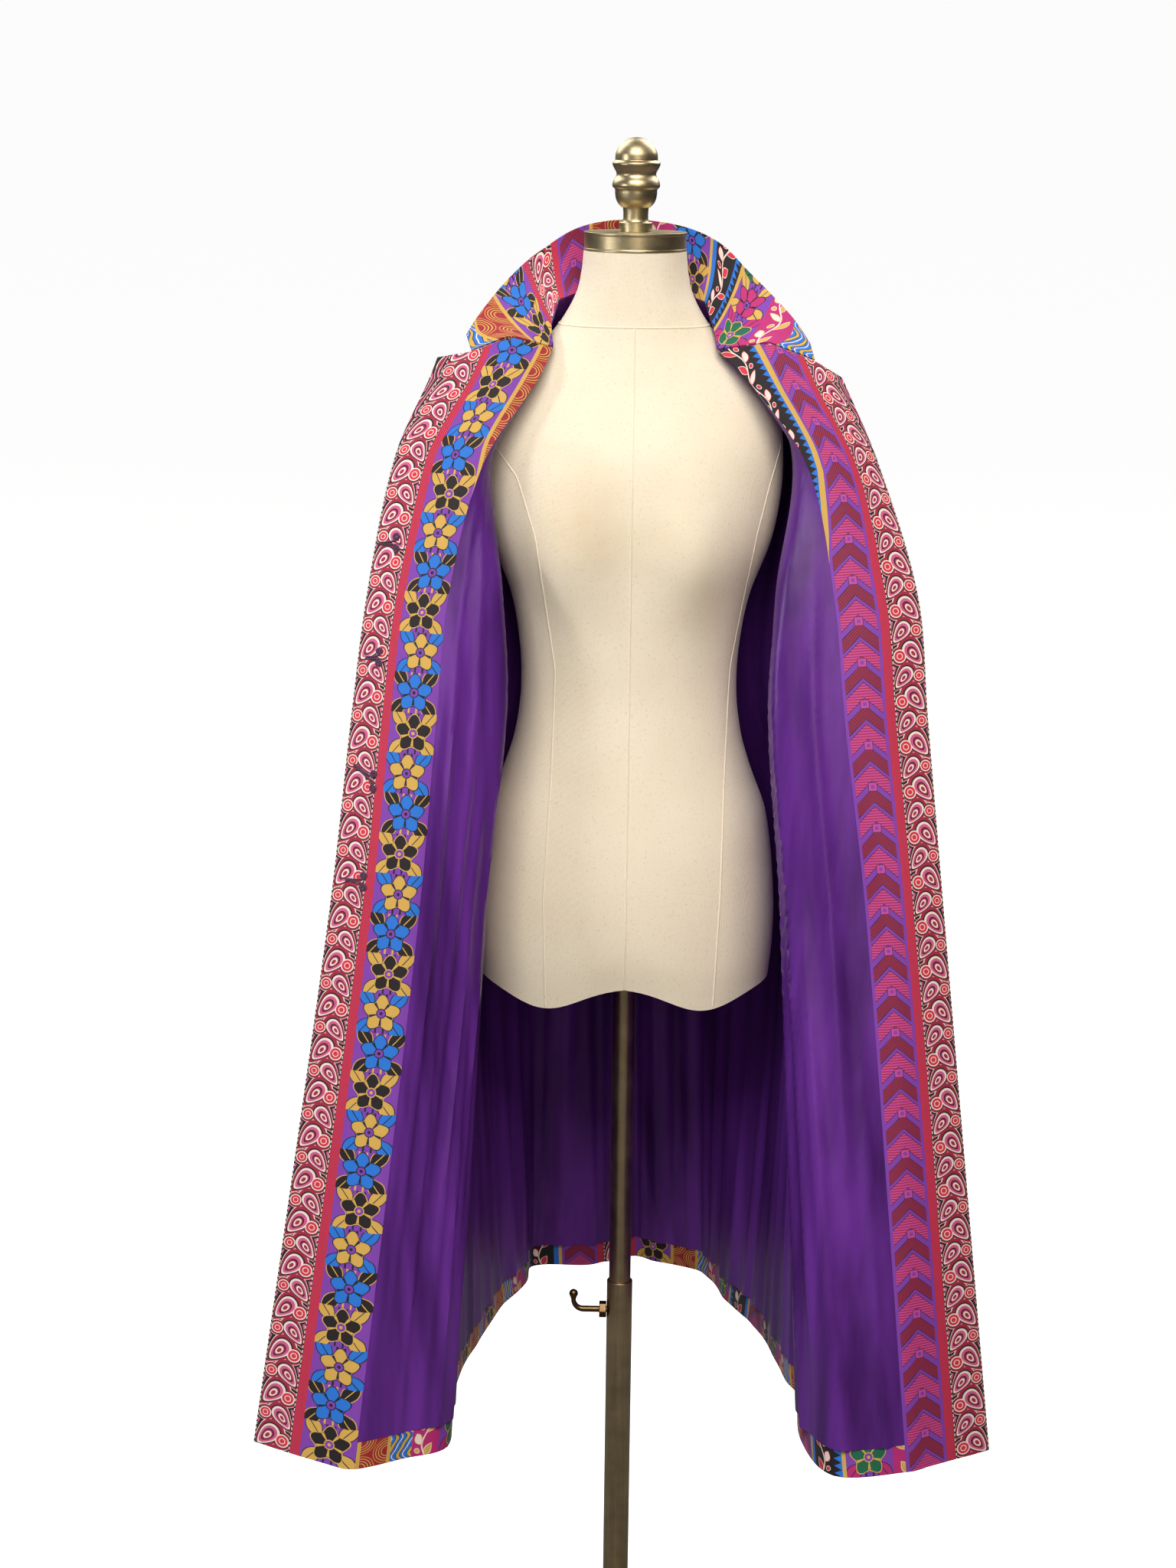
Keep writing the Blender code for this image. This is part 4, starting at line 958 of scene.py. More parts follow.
# %% Facing of the hem
RIGHT_SHIFT, LEFT_SHIFT, MIDDLE_SHIFT = 0.095, 0.175, 0.045     # each piece's start in the repeat
hem_rows = (0, HEM_ROW + 1)
for name, stations, offset, node in (
        ("front_right", ("right_seam", "right_side"), RIGHT_SHIFT, "right"),
        ("front_left", ("left_seam", "left_side"), LEFT_SHIFT, "left"),
        ("of_back", BACK, back_offset(*hem_rows) + MIDDLE_SHIFT, "back")):
    panel("hem_facing_" + name, part(*stations, *hem_rows), REPEAT, "brocade_facing",
          "hem_facing_" + node, UNDER, offset=offset)

# %% [markdown]
# The lining is a violet satin. Satin floats its threads on the face, so it is smooth, shines down
# its folds, and turns darker where it is seen from the side. Its colour also carries long light
# and dark streaks of painted highlight and shade, which stand up as bumps too.

# %% Purple satin
def satin():
    """Smooth violet cloth with a soft sheen, its colour painted in long light and dark streaks of
    painted highlight and shade that also stand up as bumps.
    """
    made, tree, shader = new_material("purple_satin", {
        "Roughness": 0.27, "Specular IOR Level": 0.48, "Specular Tint": srgb(226, 196, 244),
        "Sheen Weight": 0.03, "Sheen Roughness": 0.35, "Sheen Tint": srgb(158, 104, 196)})
    place = new_node(tree, "TexCoord", {}).outputs["Object"]
    streaks = noise(stretched(place, (26.0, 26.0, 2.2)), 1.0, 3.0)
    # painted highlight and shade: the streaks run the colour from a shaded violet to a lit one
    ramp = new_node(tree, "ValToRGB", {"Fac": streaks})
    stops = ramp.color_ramp.elements
    stops[0].position, stops[0].color = 0.32, srgb(64, 26, 96)
    stops[1].position, stops[1].color = 0.68, srgb(104, 48, 150)
    fill(shader, {"Base Color": ramp.outputs["Color"]})
    _, across, along = cloth_map(tree)
    ribs = across.wave(0.8) * 0.5 + (across + along * 2.0).wave(1.6) * 0.5
    raise_surface(shader, streaks * 6.0 + ribs * 0.06, 0.5, 0.0008)
    return made


SATIN_CUT = ((satin(), 2.0),)
for name, first, last, node in (
        ("lining_of_right_front", "right_seam", "right_side", "lining_front_right"),
        ("lining_of_back", *BACK, "lining_back"),
        ("lining_of_left_front", "left_side", "left_seam", "lining_front_left")):
    station = coat_station[column_of(first):column_of(last) + 1]
    panel(name, part(first, last, HEM_ROW), SATIN_CUT, "purple_satin", node, UNDER, station=station)

# %% [markdown]
# The collar is turned up. It is cut across the cloth, so the stripes run from the neck to its
# outer edge, and it is stiff with canvas: a bowed strip between the neck seam and a free edge.

# %% Collar
COLLAR_EDGE = {
    "right_notch": (-.1690, -.046, 1.5215), "right_gorge": (-.1565, -.028, 1.5400),
    "right_seam": (-.1370, -.006, 1.5650), "right_ridge": (-.1170, .018, 1.5860),
    "right_fold": (-.0970, .040, 1.6020), "right_nape": (-.0560, .072, 1.6260),
    "nape": (-.0030, .086, 1.6340), "left_nape": (.0540, .072, 1.6280),
    "left_fold": (.0930, .042, 1.6120), "left_ridge": (.1200, .018, 1.5860),
    "left_seam": (.1430, -.006, 1.5640), "left_gorge": (.1660, -.028, 1.5400),
    "left_notch": (.1830, -.045, 1.5160),
}
COLLAR_ROWS = 14
COLLAR_SWELL = 0.006
COLLAR_NOTCH_LIFT = 0.0008      # how far its foot stands above the coat's edge at the ends
COLLAR_NECK_LIFT = -0.0010      # and how much that changes round the neck
COLLAR_LAYER = (-0.0026, 0.0)
COLLAR_STRIPES = (
    (WAVE[0], 0.013), GOLD, (SCALLOP[0], 0.033), GOLD, VIOLET_FLOWERS, RED, ROSE, RED, HATCH, GOLD,
    SCALLOP, GOLD, WAVE, MAGENTA_LEAVES, VIOLET_FLOWERS, GOLD, BLUE, DARK_LEAVES, TOOTH,
    (GOLD[0], 0.005), GREEN_FLOWERS, (MAGENTA_LEAVES[0], 0.035), (WAVE[0], 0.080))


def collar_grid():
    """The collar's outer face: columns along the neck, rows up to its free edge."""
    neck = [coat[c, -1] for c in (
        *range(column_of("right_notch"), column_of("right_fold") + 1),
        *range(column_of("right_neck_back") + 1, column_of("left_neck_back")),
        *range(column_of("left_fold"), column_of("left_notch") + 1))]
    knots = [leaned(*point) for point in COLLAR_EDGE.values()]
    edge = [catmull(*stretch, k / FINE) for stretch in stretches(knots) for k in range(FINE)]
    edge.append(knots[-1])
    grid = []
    reach = FINE // 2
    for i, (low, up) in enumerate(zip(neck, edge)):
        around = math.sin(math.pi * i / (len(neck) - 1))
        ahead = neck[min(i + reach, len(neck) - 1)] - neck[max(i - reach, 0)]
        slope = (up - low) / np.linalg.norm(up - low)
        bow = np.cross(slope, ahead)
        bow *= COLLAR_SWELL * around / np.linalg.norm(bow)
        start = low + slope * (COLLAR_NOTCH_LIFT + COLLAR_NECK_LIFT * min(1.0, 3.0 * around ** 2))
        grid.append([start + (up - start) * t + bow * math.sin(math.pi * t)
                     for t in (k / COLLAR_ROWS for k in range(COLLAR_ROWS + 1))])
    return np.array(grid)


collar_points = collar_grid()
collar_lengths = np.linalg.norm(np.diff(collar_points, axis=0), axis=2).sum(axis=0)
collar_middle = collar_lengths[COLLAR_ROWS // 2]
panel("turned_up_collar", (collar_points, outward(collar_points)), COLLAR_STRIPES, "brocade_collar",
      "collar", COLLAR_LAYER, offset=(collar_middle - collar_lengths) / 2)
print("the collar is", round(float(collar_middle), 3), "m long")

# %% [markdown]
# The dress form is padded linen over a hard body, smooth and firm, with sewn seams that stand
# up a little. Its skin is one sheet rolled into a tube: squarish ovals at each height, fuller
# at the bust, and two soft lobes at the bottom where the legs would start.

# %% The form's skin
FORM_BOTTOM = 0.840
NECK_TOP = 1.606
LOBE_DROP, LOBE_X, LOBE_WIDTH, LOBE_FADE = 0.026, 0.085, 0.052, 0.075
FORM_EXPONENT = 2.3
BUST_X, BUST_Z, BUST_RISE = 0.068, 1.300, 0.016
BUST_WIDTH, BUST_HEIGHT = 0.045, 0.065
FORM_INSET = 0.0004     # the skin lies this far inside its ovals, to clear the lining
FORM_SECTIONS = (       # height, half width, depth in front and behind
    (FORM_BOTTOM, 0.1560, 0.090, 0.120), (0.875, 0.1595, 0.097, 0.125),
    (0.920, 0.1600, 0.100, 0.126), (0.980, 0.1550, 0.098, 0.120),
    (1.020, 0.1480, 0.094, 0.112), (1.060, 0.1330, 0.090, 0.102),
    (1.100, 0.1210, 0.087, 0.094), (1.146, 0.1150, 0.085, 0.088),
    (1.195, 0.1165, 0.088, 0.089), (1.250, 0.1260, 0.093, 0.092),
    (1.310, 0.1480, 0.099, 0.097), (1.360, 0.1570, 0.100, 0.099),
    (1.400, 0.1580, 0.095, 0.098), (1.440, 0.1540, 0.079, 0.091),
    (1.466, 0.1430, 0.067, 0.082), (1.488, 0.1240, 0.059, 0.074),
    (1.508, 0.1000, 0.053, 0.067), (1.532, 0.0780, 0.050, 0.061),
    (1.562, 0.0610, 0.050, 0.056), (1.585, 0.0555, 0.051, 0.054),
    (NECK_TOP, 0.0535, 0.0525, 0.0535),
)
FORM_HEIGHTS = [row[0] for row in FORM_SECTIONS]
FORM_SIZES = [np.array(row[1:]) for row in FORM_SECTIONS]
FORM_SIDES, FORM_ROWS, UNDER_ROWS = 144, 130, 12
BORE_RADIUS, BORE_DEPTH = 0.0130, 0.070
UNDER_START, UNDER_END = 2.2, 0.985     # the underside: in bore radii, and as a share of the rim
UNDER_FALL = 1.35       # how soon it reaches the lobes' depth
CLOSURE = 1e-6          # points nearer than this are one, where a round piece closes


def form_point(height, angle, out=0.0):
    """Point on the form's skin; angle 0 is +X and a quarter turn is -Y."""
    half_width, front, back = smooth_track(FORM_HEIGHTS, FORM_SIZES, height) + out - FORM_INSET
    cosine, sine = math.cos(angle), math.sin(angle)
    power = 2.0 / FORM_EXPONENT
    x = half_width * math.copysign(abs(cosine) ** power, cosine)
    y = -(front if sine > 0.0 else back) * math.copysign(abs(sine) ** power, sine)
    if sine > 0.0:
        away = ((abs(x) - BUST_X) / BUST_WIDTH) ** 2 + ((height - BUST_Z) / BUST_HEIGHT) ** 2
        y -= BUST_RISE * math.exp(-away)
    return np.array((x, y, height))


def lobe(x):
    """How far the form's lower edge hangs down at an x."""
    return LOBE_DROP * math.exp(-((abs(x) - LOBE_X) / LOBE_WIDTH) ** 2)


def dropped(place):
    """A point of the skin, lowered by the lobes near the bottom."""
    fade = max(0.0, 1.0 - (place[2] - FORM_BOTTOM) / LOBE_FADE)
    return place - np.array((0, 0, lobe(place[0]) * fade))


def form_grid():
    """The form's points: down the bore, out over the underside and up to the neck."""
    turns = [math.tau * k / FORM_SIDES for k in range(FORM_SIDES + 1)]
    circle = [np.array((math.cos(a), -math.sin(a), 0.0)) * BORE_RADIUS for a in turns]
    rows = [[place + np.array((0, 0, FORM_BOTTOM + rise)) for place in circle]
            for rise in (BORE_DEPTH, 0.0)]
    rim = [form_point(FORM_BOTTOM, a) for a in turns]
    for k in range(1, UNDER_ROWS + 1):
        share = k / (UNDER_ROWS + 1)
        row = []
        for flat, edge in zip(circle, rim):
            x, y, _ = flat * UNDER_START * (1 - share) + edge * share * UNDER_END
            row.append((x, y, FORM_BOTTOM - lobe(x) * min(1.0, share * UNDER_FALL)))
        rows.append(row)
    for height in np.linspace(FORM_BOTTOM, NECK_TOP, FORM_ROWS + 1):
        rows.append([dropped(form_point(height, a)) for a in turns])
    return np.array(rows).transpose(1, 0, 2)


def placed(name, bm, finish, sharp=40):
    """Turn a bmesh into a smooth object with its material."""
    bmesh.ops.recalc_face_normals(bm, faces=bm.faces[:])
    mesh = bpy.data.meshes.new(name)
    bm.to_mesh(mesh)
    bm.free()
    mesh.shade_smooth()
    mesh.set_sharp_from_angle(angle=math.radians(sharp))
    mesh.materials.append(finish)
    print(name, "triangles", sum(len(face.vertices) - 2 for face in mesh.polygons))
    return new_object(name, mesh)


def close_ends(bm):
    """Fill a mesh's open ends."""
    bmesh.ops.holes_fill(bm, edges=[edge for edge in bm.edges if edge.is_boundary], sides=0)


def rolled(name, grid, finish):
    """A rolled grid of points as a smooth closed piece."""
    bm, column_tag, row_tag = flat_grid(*grid.shape[:2])
    for vert in bm.verts:
        vert.co = grid[vert[column_tag], vert[row_tag]]
    bmesh.ops.remove_doubles(bm, verts=bm.verts[:], dist=CLOSURE)
    close_ends(bm)
    return placed(name, bm, finish)


# %% Linen
TAN_PATCHES = (         # x, height, reach and strength
    (-0.052, 1.345, 0.075, 0.42), (0.022, 1.325, 0.070, 0.16), (0.080, 1.265, 0.055, 0.14))


def linen():
    """Cream cloth with a fine uneven weave and a few faint tan patches."""
    made, tree, shader = new_material("cream_linen", {
        "Roughness": 0.88, "Specular IOR Level": 0.2, "Sheen Weight": 0.1})
    place, x, y, z = object_axes(tree)
    mottled = noise(place, 16.0, 4.0)
    slubs = noise(place, 420.0)
    cream = blend(mottled, srgb(234, 221, 196), srgb(243, 233, 212))
    patch = None
    for px, pz, reach, amount in TAN_PATCHES:
        spot = far(x - px, z - pz) / reach * -1.0 + 1.35 - mottled * 0.7
        spot = spot.most(0.0) * amount * y.below(0.0)
        patch = spot if patch is None else patch.most(spot)
    stained = blend(patch, cream, srgb(196, 170, 128))
    flecked = blend((slubs - 0.58).most(0.0) * 2.2, stained, srgb(198, 182, 150))
    fill(shader, {"Base Color": flecked})
    weave = (z * 1000.0).wave(0.9) * 0.5 + ((x - y) * 1000.0).wave(0.9) * 0.5 + slubs * 2.2
    raise_surface(shader, weave, 0.35, 0.0003)
    return made


LINEN = linen()
torso = rolled("dress_form", form_grid(), LINEN)
tell_frame(torso, "figure", "torso")

# %% Seams of the form
WELT_RADIUS = 0.0013
WELT_SINK = 0.0006
WELT_SIDES = 8
NECK_SEAM_Z = 1.531
SEAM_STEPS, NECK_SEAM_STEPS = 60, 72


def swept(name, path, radii, sides, finish, up=(0, 0, 1)):
    """Carry a circle along a path, with a radius at each point, and close its ends."""
    bm = bmesh.new()
    path = [Vector(point) for point in path]
    ring = bmesh.ops.create_circle(bm, segments=sides, radius=1.0)["verts"]
    unit = [vert.co.copy() for vert in ring]
    edges = bm.edges[:]
    side = None
    for i, (point, radius) in enumerate(zip(path, radii)):
        ahead = (path[min(i + 1, len(path) - 1)] - path[max(i - 1, 0)]).normalized()
        if side is None:
            side = ahead.cross(Vector(up)).normalized()
        side = (side - ahead * side.dot(ahead)).normalized()
        other = ahead.cross(side)
        if i > 0:
            made = bmesh.ops.extrude_edge_only(bm, edges=edges)["geom"]
            ring = points_of(made)
            edges = [item for item in made if isinstance(item, bmesh.types.BMEdge)
                     and all(vert in ring for vert in item.verts)]
        for vert, (a, b, _) in zip(ring, unit):
            vert.co = point + (side * a + other * b) * radius
    close_ends(bm)
    return placed(name, bm, finish, sharp=60)


def welt(name, path):
    """A raised seam along a path on the form."""
    piece = swept(name, path, [WELT_RADIUS] * len(path), WELT_SIDES, LINEN)
    tell_frame(piece, "figure")


def seam_angle(x, height):
    """The turn at which the form has this x at a height."""
    half_width = float(smooth_track(FORM_HEIGHTS, FORM_SIZES, height)[0]) - FORM_INSET
    share = min(1.0, abs(x) / half_width) ** (FORM_EXPONENT / 2.0)
    return math.acos(share if x > 0 else -share)


def seams(front_name, back_name, *stops):
    """Raised seams over the form's front and back, through stops of (x, height)."""
    places, heights = zip(*stops)
    for name, side in ((front_name, 1), (back_name, -1)):
        path = []
        for height in np.linspace(heights[0], heights[-1], SEAM_STEPS + 1):
            angle = side * seam_angle(float(np.interp(height, heights, places)), height)
            path.append(dropped(form_point(height, angle, -WELT_SINK)))
        welt(name, path)


seams("seam_front", "seam_back", (0.0005, 0.841), (0.0005, NECK_SEAM_Z))
seams("seam_princess_right", "seam_princess_back_right",
      (-.084, .842), (-.087, .935), (-.080, 1.064), (-.077, 1.178), (-.098, 1.320), (-.118, 1.38),
      (-.152, 1.42))
seams("seam_princess_left", "seam_princess_back_left",
      (.095, .842), (.100, .935), (.102, 1.064), (.106, 1.178), (.130, 1.320), (.142, 1.37),
      (.154, 1.41))
welt("seam_neck", [form_point(NECK_SEAM_Z, math.tau * k / NECK_SEAM_STEPS, -WELT_SINK)
                   for k in range(NECK_SEAM_STEPS + 1)])

# %% [markdown]
# The stand is turned and drawn brass gone brown with age, on a cast iron foot. Turned things
# are spun from half a profile, and a small bevel rounds each edge as a polishing wheel would.

# %% Old brass and bronzed iron
def old_metal(name, dark, light, roughness, grain):
    """Metal with long brushed streaks, brown patches and worn bright places."""
    made, tree, shader = new_material(name, {"Metallic": 1.0})
    place = new_node(tree, "TexCoord", {}).outputs["Object"]
    brushed = noise(stretched(place, grain), 1.0, 3.0)
    patches = noise(place, 38.0, 4.0)
    share = ((brushed - 0.5) * 0.9 + patches).least(1.0).most(0.0)
    fill(shader, {"Base Color": blend(share, srgb(*dark), srgb(*light)),
                  "Roughness": (patches - 0.5) * 0.28 + roughness})
    raise_surface(shader, brushed + patches * 0.5, 0.18, 0.0002)
    return made


TURNED, DRAWN, CAST = (160.0, 160.0, 1600.0), (700.0, 700.0, 9.0), (120.0, 120.0, 400.0)
BRASS = old_metal("aged_brass", (148, 134, 102), (204, 188, 150), 0.40, TURNED)
POLE_BRASS = old_metal("aged_brass_drawn", (150, 132, 102), (208, 186, 146), 0.33, DRAWN)
DARK_BRASS = old_metal("aged_brass_dark", (78, 62, 42), (128, 104, 72), 0.34, TURNED)
IRON = old_metal("bronzed_iron", (52, 40, 26), (100, 80, 50), 0.42, CAST)

# %% Turned pieces
GAP = 0.0003            # clearance between one solid and the next
SPIN_SIDES = 96
EDGE_STEPS, EDGE_ANGLE = 3, 30      # how metal edges are rounded, and from which angle


def turned_piece(name, profile, finish, node, body, bevel=0.0006):
    """Spin a half profile of (radius, height) points round the pole's axis."""
    bm = bmesh.new()
    points = [bm.verts.new((radius, 0.0, height)) for radius, height in profile]
    edges = [bm.edges.new(pair) for pair in zip(points, points[1:])]
    if profile[0][0] > 0.0:
        edges.append(bm.edges.new((points[-1], points[0])))
    bmesh.ops.spin(bm, geom=points + edges, cent=(0, 0, 0), axis=(0, 0, 1),
                   angle=math.tau, steps=SPIN_SIDES, use_merge=True)
    bmesh.ops.remove_doubles(bm, verts=bm.verts[:], dist=CLOSURE)
    piece = placed(name, bm, finish, sharp=30)
    if bevel:
        rounded(piece, bevel, EDGE_STEPS, EDGE_ANGLE)
    tell_frame(piece, body, node)


def quarter(steps, first):
    """Angles of a quarter turn."""
    return [math.pi / 2 * k / steps for k in range(first, steps + 1)]


BASE_RADIUS, BASE_RIM, BOSS_RADIUS, BOSS_TOP = 0.195, 0.008, 0.030, 0.050
SOCKET_FLOOR, TUBE_OUTER, TUBE_INNER, TUBE_TOP = 0.012, 0.0142, 0.0128, 0.475
POLE_RADIUS, POLE_BOTTOM = 0.0120, 0.232
POLE_TOP = FORM_BOTTOM + BORE_DEPTH - GAP
SLOPE_STEPS, BOSS_STEPS = 12, 6
BOSS_FLARE, BOSS_FOOT = 0.020, 0.030    # the boss spreads this much below this height
slope = [(0.191 - 0.141 * k / SLOPE_STEPS, 0.012 + 0.0125 * math.sin(a) ** 1.2)
         for k, a in enumerate(quarter(SLOPE_STEPS, 0))]
boss = [(BOSS_RADIUS + BOSS_FLARE * (1 - math.sin(a)), BOSS_FOOT - 0.0055 * math.cos(a))
        for a in quarter(BOSS_STEPS, 1)]
socket = TUBE_OUTER + GAP
turned_piece("stand_base", [
    (0.0, 0.0), (0.193, 0.0), (BASE_RADIUS, 0.002), (BASE_RADIUS, BASE_RIM), *slope, *boss,
    (0.0282, 0.044), (0.0250, BOSS_TOP - 0.0015), (0.0230, BOSS_TOP), (socket, BOSS_TOP),
    (socket, SOCKET_FLOOR), (0.0, SOCKET_FLOOR)], IRON, "base", "stand")
turned_piece("stand_tube", [
    (TUBE_INNER, SOCKET_FLOOR + GAP), (TUBE_OUTER, SOCKET_FLOOR + GAP), (TUBE_OUTER, TUBE_TOP),
    (TUBE_INNER, TUBE_TOP)], POLE_BRASS, "outer_tube", "stand", 0.0004)
turned_piece("stand_pole", [
    (0.0, POLE_BOTTOM), (POLE_RADIUS, POLE_BOTTOM), (POLE_RADIUS, POLE_TOP), (0.0, POLE_TOP)],
    POLE_BRASS, "inner_pole", "pole")

CAP_RADIUS, CAP_HEIGHT, CAP_GROOVE = 0.053, 0.0195, 0.0004
cap_low, cap_high = NECK_TOP + GAP, NECK_TOP + CAP_HEIGHT
groove = CAP_RADIUS - CAP_GROOVE
turned_piece("form_cap", [
    (0.0, cap_low), (CAP_RADIUS, cap_low), (CAP_RADIUS, cap_low + 0.0022),
    (groove, cap_low + 0.0028), (groove, cap_high - 0.0030), (CAP_RADIUS, cap_high - 0.0024),
    (CAP_RADIUS, cap_high), (0.0, cap_high)], BRASS, "neck_cap", "figure", 0.0007)

FINIAL_STOPS = (
    (0.0172, 0.0000), (0.0172, 0.0088), (0.0132, 0.0108), (0.0132, 0.0232), (0.0150, 0.0246),
    (0.0185, 0.0282), (0.0207, 0.0328), (0.0216, 0.0380), (0.0219, 0.0424), (0.0240, 0.0444),
    (0.0246, 0.0470), (0.0236, 0.0510), (0.0212, 0.0550), (0.0204, 0.0576), (0.0210, 0.0602),
    (0.0232, 0.0640), (0.0246, 0.0674), (0.0242, 0.0698), (0.0221, 0.0716), (0.0219, 0.0740),
    (0.0212, 0.0794), (0.0176, 0.0864), (0.0122, 0.0914), (0.0056, 0.0942), (0.0, 0.0950))
FINIAL_CURVE_STEPS = 5
stops = [np.array(stop) for stop in FINIAL_STOPS]
curve = stops[:2]
for stretch in list(stretches([*stops, stops[-1]]))[1:-1]:
    curve += [catmull(*stretch, k / FINIAL_CURVE_STEPS) for k in range(1, FINIAL_CURVE_STEPS + 1)]
foot = cap_high + GAP
profile = [(0.0, foot)] + [(max(0.0, float(radius)), foot + float(rise)) for radius, rise in curve]
turned_piece("form_finial", profile, BRASS, "finial", "figure", bevel=0.0)

# %% Clamp nut and screw
SCREW_Z, SCREW_RADIUS, NUT_HALF, NUT_THICK = 0.440, 0.0035, 0.0095, 0.008
NUT_STEPS = 12          # a corner and a flat's middle, six times over
nut_start = -socket
nut = bmesh.new()
sideways = Matrix.Translation((nut_start, 0, SCREW_Z)) @ Matrix.Rotation(math.pi / 2, 4, "Y")
corners, _ = (
    bmesh.ops.create_circle(nut, segments=NUT_STEPS, radius=radius, matrix=sideways)["verts"]
    for radius in (NUT_HALF, SCREW_RADIUS + GAP))
bmesh.ops.scale(nut, verts=corners[1::2], vec=[math.cos(math.pi / 6)] * 3,
                space=Matrix.Translation((-nut_start, 0, -SCREW_Z)))
bmesh.ops.bridge_loops(nut, edges=nut.edges[:])
walls = bmesh.ops.extrude_face_region(nut, geom=nut.faces[:], use_keep_orig=True)["geom"]
bmesh.ops.translate(nut, verts=points_of(walls), vec=(-NUT_THICK, 0, 0))
nut_piece = placed("stand_nut", nut, DARK_BRASS, sharp=25)
rounded(nut_piece, 0.0007, EDGE_STEPS, EDGE_ANGLE)
tell_frame(nut_piece, "stand", "clamp_nut")

BEND_RADIUS, ARM_OUT, ARM_UP, BALL_RADIUS = 0.011, 0.037, 0.018, 0.005
BEND_STEPS = BALL_STEPS = 14
SCREW_SIDES = 28
SCREW_STRAIGHT, SCREW_TAPER = 0.004, 0.24   # it runs on outside the nut, then thins
BALL_START, BALL_SWEEP = 0.22, 0.76         # half turns over the ball, from below
BALL_X = -(TUBE_OUTER + ARM_OUT)
arm = [(-(POLE_RADIUS + GAP), SCREW_Z, SCREW_RADIUS),
       (nut_start - NUT_THICK - SCREW_STRAIGHT, SCREW_Z, SCREW_RADIUS)]
for k, a in enumerate(quarter(BEND_STEPS, 0)):
    arm.append((BALL_X + BEND_RADIUS * (1 - math.sin(a)), SCREW_Z + BEND_RADIUS * (1 - math.cos(a)),
                SCREW_RADIUS * (1 - SCREW_TAPER * k / BEND_STEPS)))
for k in range(1, BALL_STEPS + 1):
    a = math.pi * (BALL_START + BALL_SWEEP * k / BALL_STEPS)
    arm.append((BALL_X, SCREW_Z + ARM_UP - BALL_RADIUS * math.cos(a), BALL_RADIUS * math.sin(a)))
screw = swept("stand_clamp_screw", [(x, 0, z) for x, z, _ in arm], [radius for *_, radius in arm],
              SCREW_SIDES, DARK_BRASS, up=(0, 1, 0))
tell_frame(screw, "clamp", "clamp_screw")

# %% [markdown]
# Four frogs close the coat. Each is one dark cord that coils into a spiral, runs out to a loop
# towards the front edge and comes back into a second spiral. The cord is swept along that path.

# %% Corded frogs
FROGS = (                # height, place across the facing, tail's length, tilt, half pitch
    (1.316, 0.300, 0.018, 0.0, 0.0063), (1.208, 0.305, 0.013, -5.0, 0.0060),
    (1.092, 0.315, 0.0205, 36.0, 0.0074), (0.984, 0.330, 0.018, 2.0, 0.0060))
FROG_DISC = 0.0045
CORD_RADIUS = 0.00085
CORD_SPACE, LOOP_REACH = 1.1, 1.6   # in cord radii: from the tail's middle line, and past it
CORD_GAP = 0.0001
SPIRAL_TURNS, SPIRAL_STEPS, SPIRAL_START = 2.25, 54, 0.0008
TAIL_STEPS, LOOP_STEPS = 8, 6
CORD_SIDES = 10


def cord_material():
    """Dark twisted silk cord."""
    made, tree, shader = new_material("aubergine_cord", {"Roughness": 0.5, "Sheen Weight": 0.3})
    place, x, y, z = object_axes(tree)
    strands = ((x * 0.7 + z + y * 0.4) * 1000.0).wave(1.3)
    share = (strands * 0.35 + noise(place, 1500.0)).least(1.0).most(0.0)
    fill(shader, {"Base Color": blend(share, srgb(36, 10, 38), srgb(92, 34, 96))})
    raise_surface(shader, strands, 0.7, 0.0003)
    return made


CORD = cord_material()


def frog_path(half_pitch, tail, lean):
    """The cord's path in the frog's own plane: across, up and out."""
    reach = FROG_DISC - CORD_RADIUS
    beside = CORD_RADIUS * CORD_SPACE
    coil, line = [], []
    for k in range(SPIRAL_STEPS + 1):
        share = k / SPIRAL_STEPS
        a = -math.pi / 2 - math.tau * SPIRAL_TURNS * (1 - share)
        r = SPIRAL_START + (reach - SPIRAL_START) * share
        coil.append((r * math.cos(a), half_pitch + r * math.sin(a)))
    for k in range(1, TAIL_STEPS + 1):
        t = k / TAIL_STEPS
        line.append((-tail * t, beside + (half_pitch - reach - beside) * (1 - t) ** 3 + lean * t))
    bend = [(-tail - CORD_RADIUS * LOOP_REACH * math.sin(a), lean + beside * math.cos(a))
            for a in (math.pi * k / LOOP_STEPS for k in range(1, LOOP_STEPS))]
    back = [(x, 2 * lean * min(1.0, -x / tail) - y) for x, y in reversed(line)]
    return coil + line + bend + back + [(x, -y) for x, y in reversed(coil)]


def frog(number, height, share, tail, tilt, half_pitch):
    """One frog on the right facing, at its height."""
    row = int(np.searchsorted(coat[0, :, 2], height)) - 1
    seam_column = column_of("right_seam")
    steps = np.diff(coat[:seam_column + 1, row], axis=0)
    widths = lengths_from_start(np.linalg.norm(steps, axis=1))
    column = int(np.argmin(np.abs(widths - share * widths[-1])))
    across = coat[seam_column, row] - coat[0, row]
    inward = -coat_outward[column, row]
    up = np.cross(across, inward)
    up *= math.copysign(1.0, up[2]) / np.linalg.norm(up)
    across = np.cross(up, inward)
    across *= math.copysign(1.0, across[0]) / np.linalg.norm(across)
    start = coat[column, row] + inward * (CORD_RADIUS - UNDER[0] + CORD_GAP)
    lean = math.tan(math.radians(tilt)) * tail
    path = [start + across * x + up * y for x, y in frog_path(half_pitch, tail, lean)]
    radii = [CORD_RADIUS] * len(path)
    piece = swept(f"frog_cord_{number}", path, radii, CORD_SIDES, CORD, up=inward)
    tell_frame(piece, "figure", f"frog_{number}")


for number, row in enumerate(FROGS, start=1):
    frog(number, *row)

# %% [markdown]
# The sleeves hang straight down behind the fronts. Each is a tube that starts round the
# armhole, bends outwards over the shoulder's end and falls to an open cuff, with its seam
# under the arm. It is cut and hung like the panels, along the same stripes.

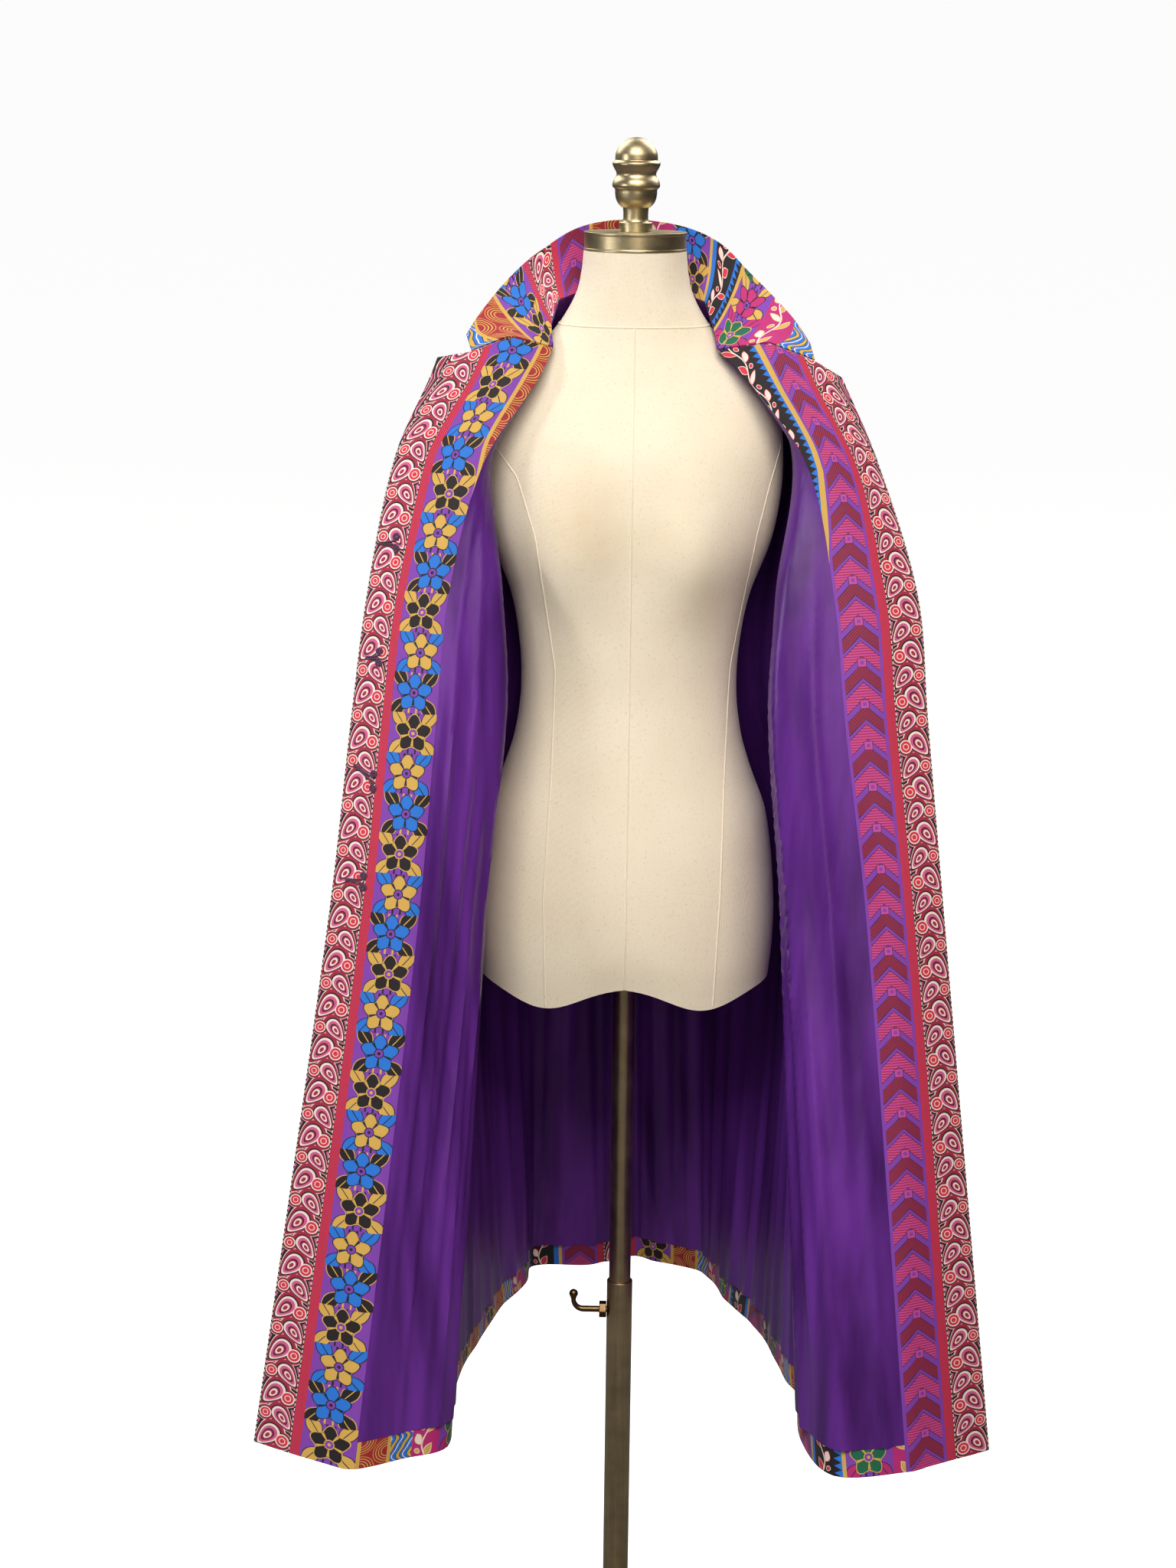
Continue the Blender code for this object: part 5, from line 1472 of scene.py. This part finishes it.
# %% Sleeves
CUFF_Z, ELBOW_Z = 0.900, 1.190
SLEEVE_X, SLEEVE_Y, SLEEVE_HALF_X, SLEEVE_HALF_Y = 0.221, 0.040, 0.034, 0.060
SLEEVE_CLEAR, SLEEVE_TUCK = 0.0014, 0.0008
SHOULDER_PULL, UNDERARM_PULL, ELBOW_PULL = 0.036, 0.014, 0.35
CAP_RINGS, ARM_RINGS = 26, 30
FOLD_SLANT, FOLD_SIDE = 0.03, 0.6       # the arm's folds slant, and are deepest at this turn
ARM_FOLDS = (           # height, width and depth
    (1.215, 0.020, 0.0022), (1.170, 0.026, -0.0020), (1.120, 0.024, 0.0018), (1.02, 0.05, -0.0014))


def sleeve_line(base, a, sign):
    """One line down a sleeve at a turn round it, from the armhole to the cuff."""
    elbow = np.array((sign * (SLEEVE_X + SLEEVE_HALF_X * math.cos(a)),
                      SLEEVE_Y - SLEEVE_HALF_Y * math.sin(a), ELBOW_Z))
    middle_pull = (SHOULDER_PULL + UNDERARM_PULL) / 2
    out = middle_pull + (SHOULDER_PULL - middle_pull) * math.cos(a)
    first_pull = base + np.array((sign * out, 0.0, 0.0))
    second_pull = elbow + np.array((0, 0, ELBOW_PULL * (base[2] - ELBOW_Z)))
    line = [(1 - t) ** 3 * base + 3 * (1 - t) ** 2 * t * first_pull
            + 3 * (1 - t) * t ** 2 * second_pull + t ** 3 * elbow
            for t in (k / CAP_RINGS for k in range(CAP_RINGS + 1))]
    line += [np.array((elbow[0], elbow[1], ELBOW_Z + (CUFF_Z - ELBOW_Z) * k / ARM_RINGS))
             for k in range(1, ARM_RINGS + 1)]
    away = np.array((sign * math.cos(a), -math.sin(a), 0.0)) * (0.5 + 0.5 * math.sin(a + FOLD_SIDE))
    for place in line[1:]:
        height = place[2] - FOLD_SLANT * math.sin(a)
        place += away * sum(depth * math.exp(-((height - z) / wide) ** 2)
                            for z, wide, depth in ARM_FOLDS)
    return line


def sleeve_grid(side):
    """A sleeve's outer surface, from the armhole down to the cuff."""
    sign = -1.0 if side == "right" else 1.0
    armhole, directions = (
        grid[:-1, -1] for grid in part(side + "_tip_front", side + "_tip_back"))
    lines = []
    for i, (point, direction) in enumerate(zip(armhole, directions)):
        away = point - armhole.mean(axis=0)
        away[0] = 0.0
        base = (point + direction * (SHELL[1] + 2 * GAP) + np.array((sign * SLEEVE_CLEAR, 0.0, 0.0))
                - away / np.linalg.norm(away) * SLEEVE_TUCK)
        lines.append(sleeve_line(base, math.tau * i / len(armhole), sign))
    underarm = abs(column_of(side + "_side") - column_of(side + "_tip_front"))
    grid = np.array(lines[underarm:] + lines[:underarm + 1])[:, ::-1]
    centre = grid[:-1].mean(axis=0)
    facing = outward(grid)
    facing[0] = facing[-1] = (facing[0] + facing[-1]) / 2
    if np.sum((grid - centre) * facing) < 0.0:
        facing = -facing
    return grid, facing


for side in ("right", "left"):
    panel("sleeve_of_" + side, sleeve_grid(side), REPEAT, "brocade_shell", "sleeve_" + side)
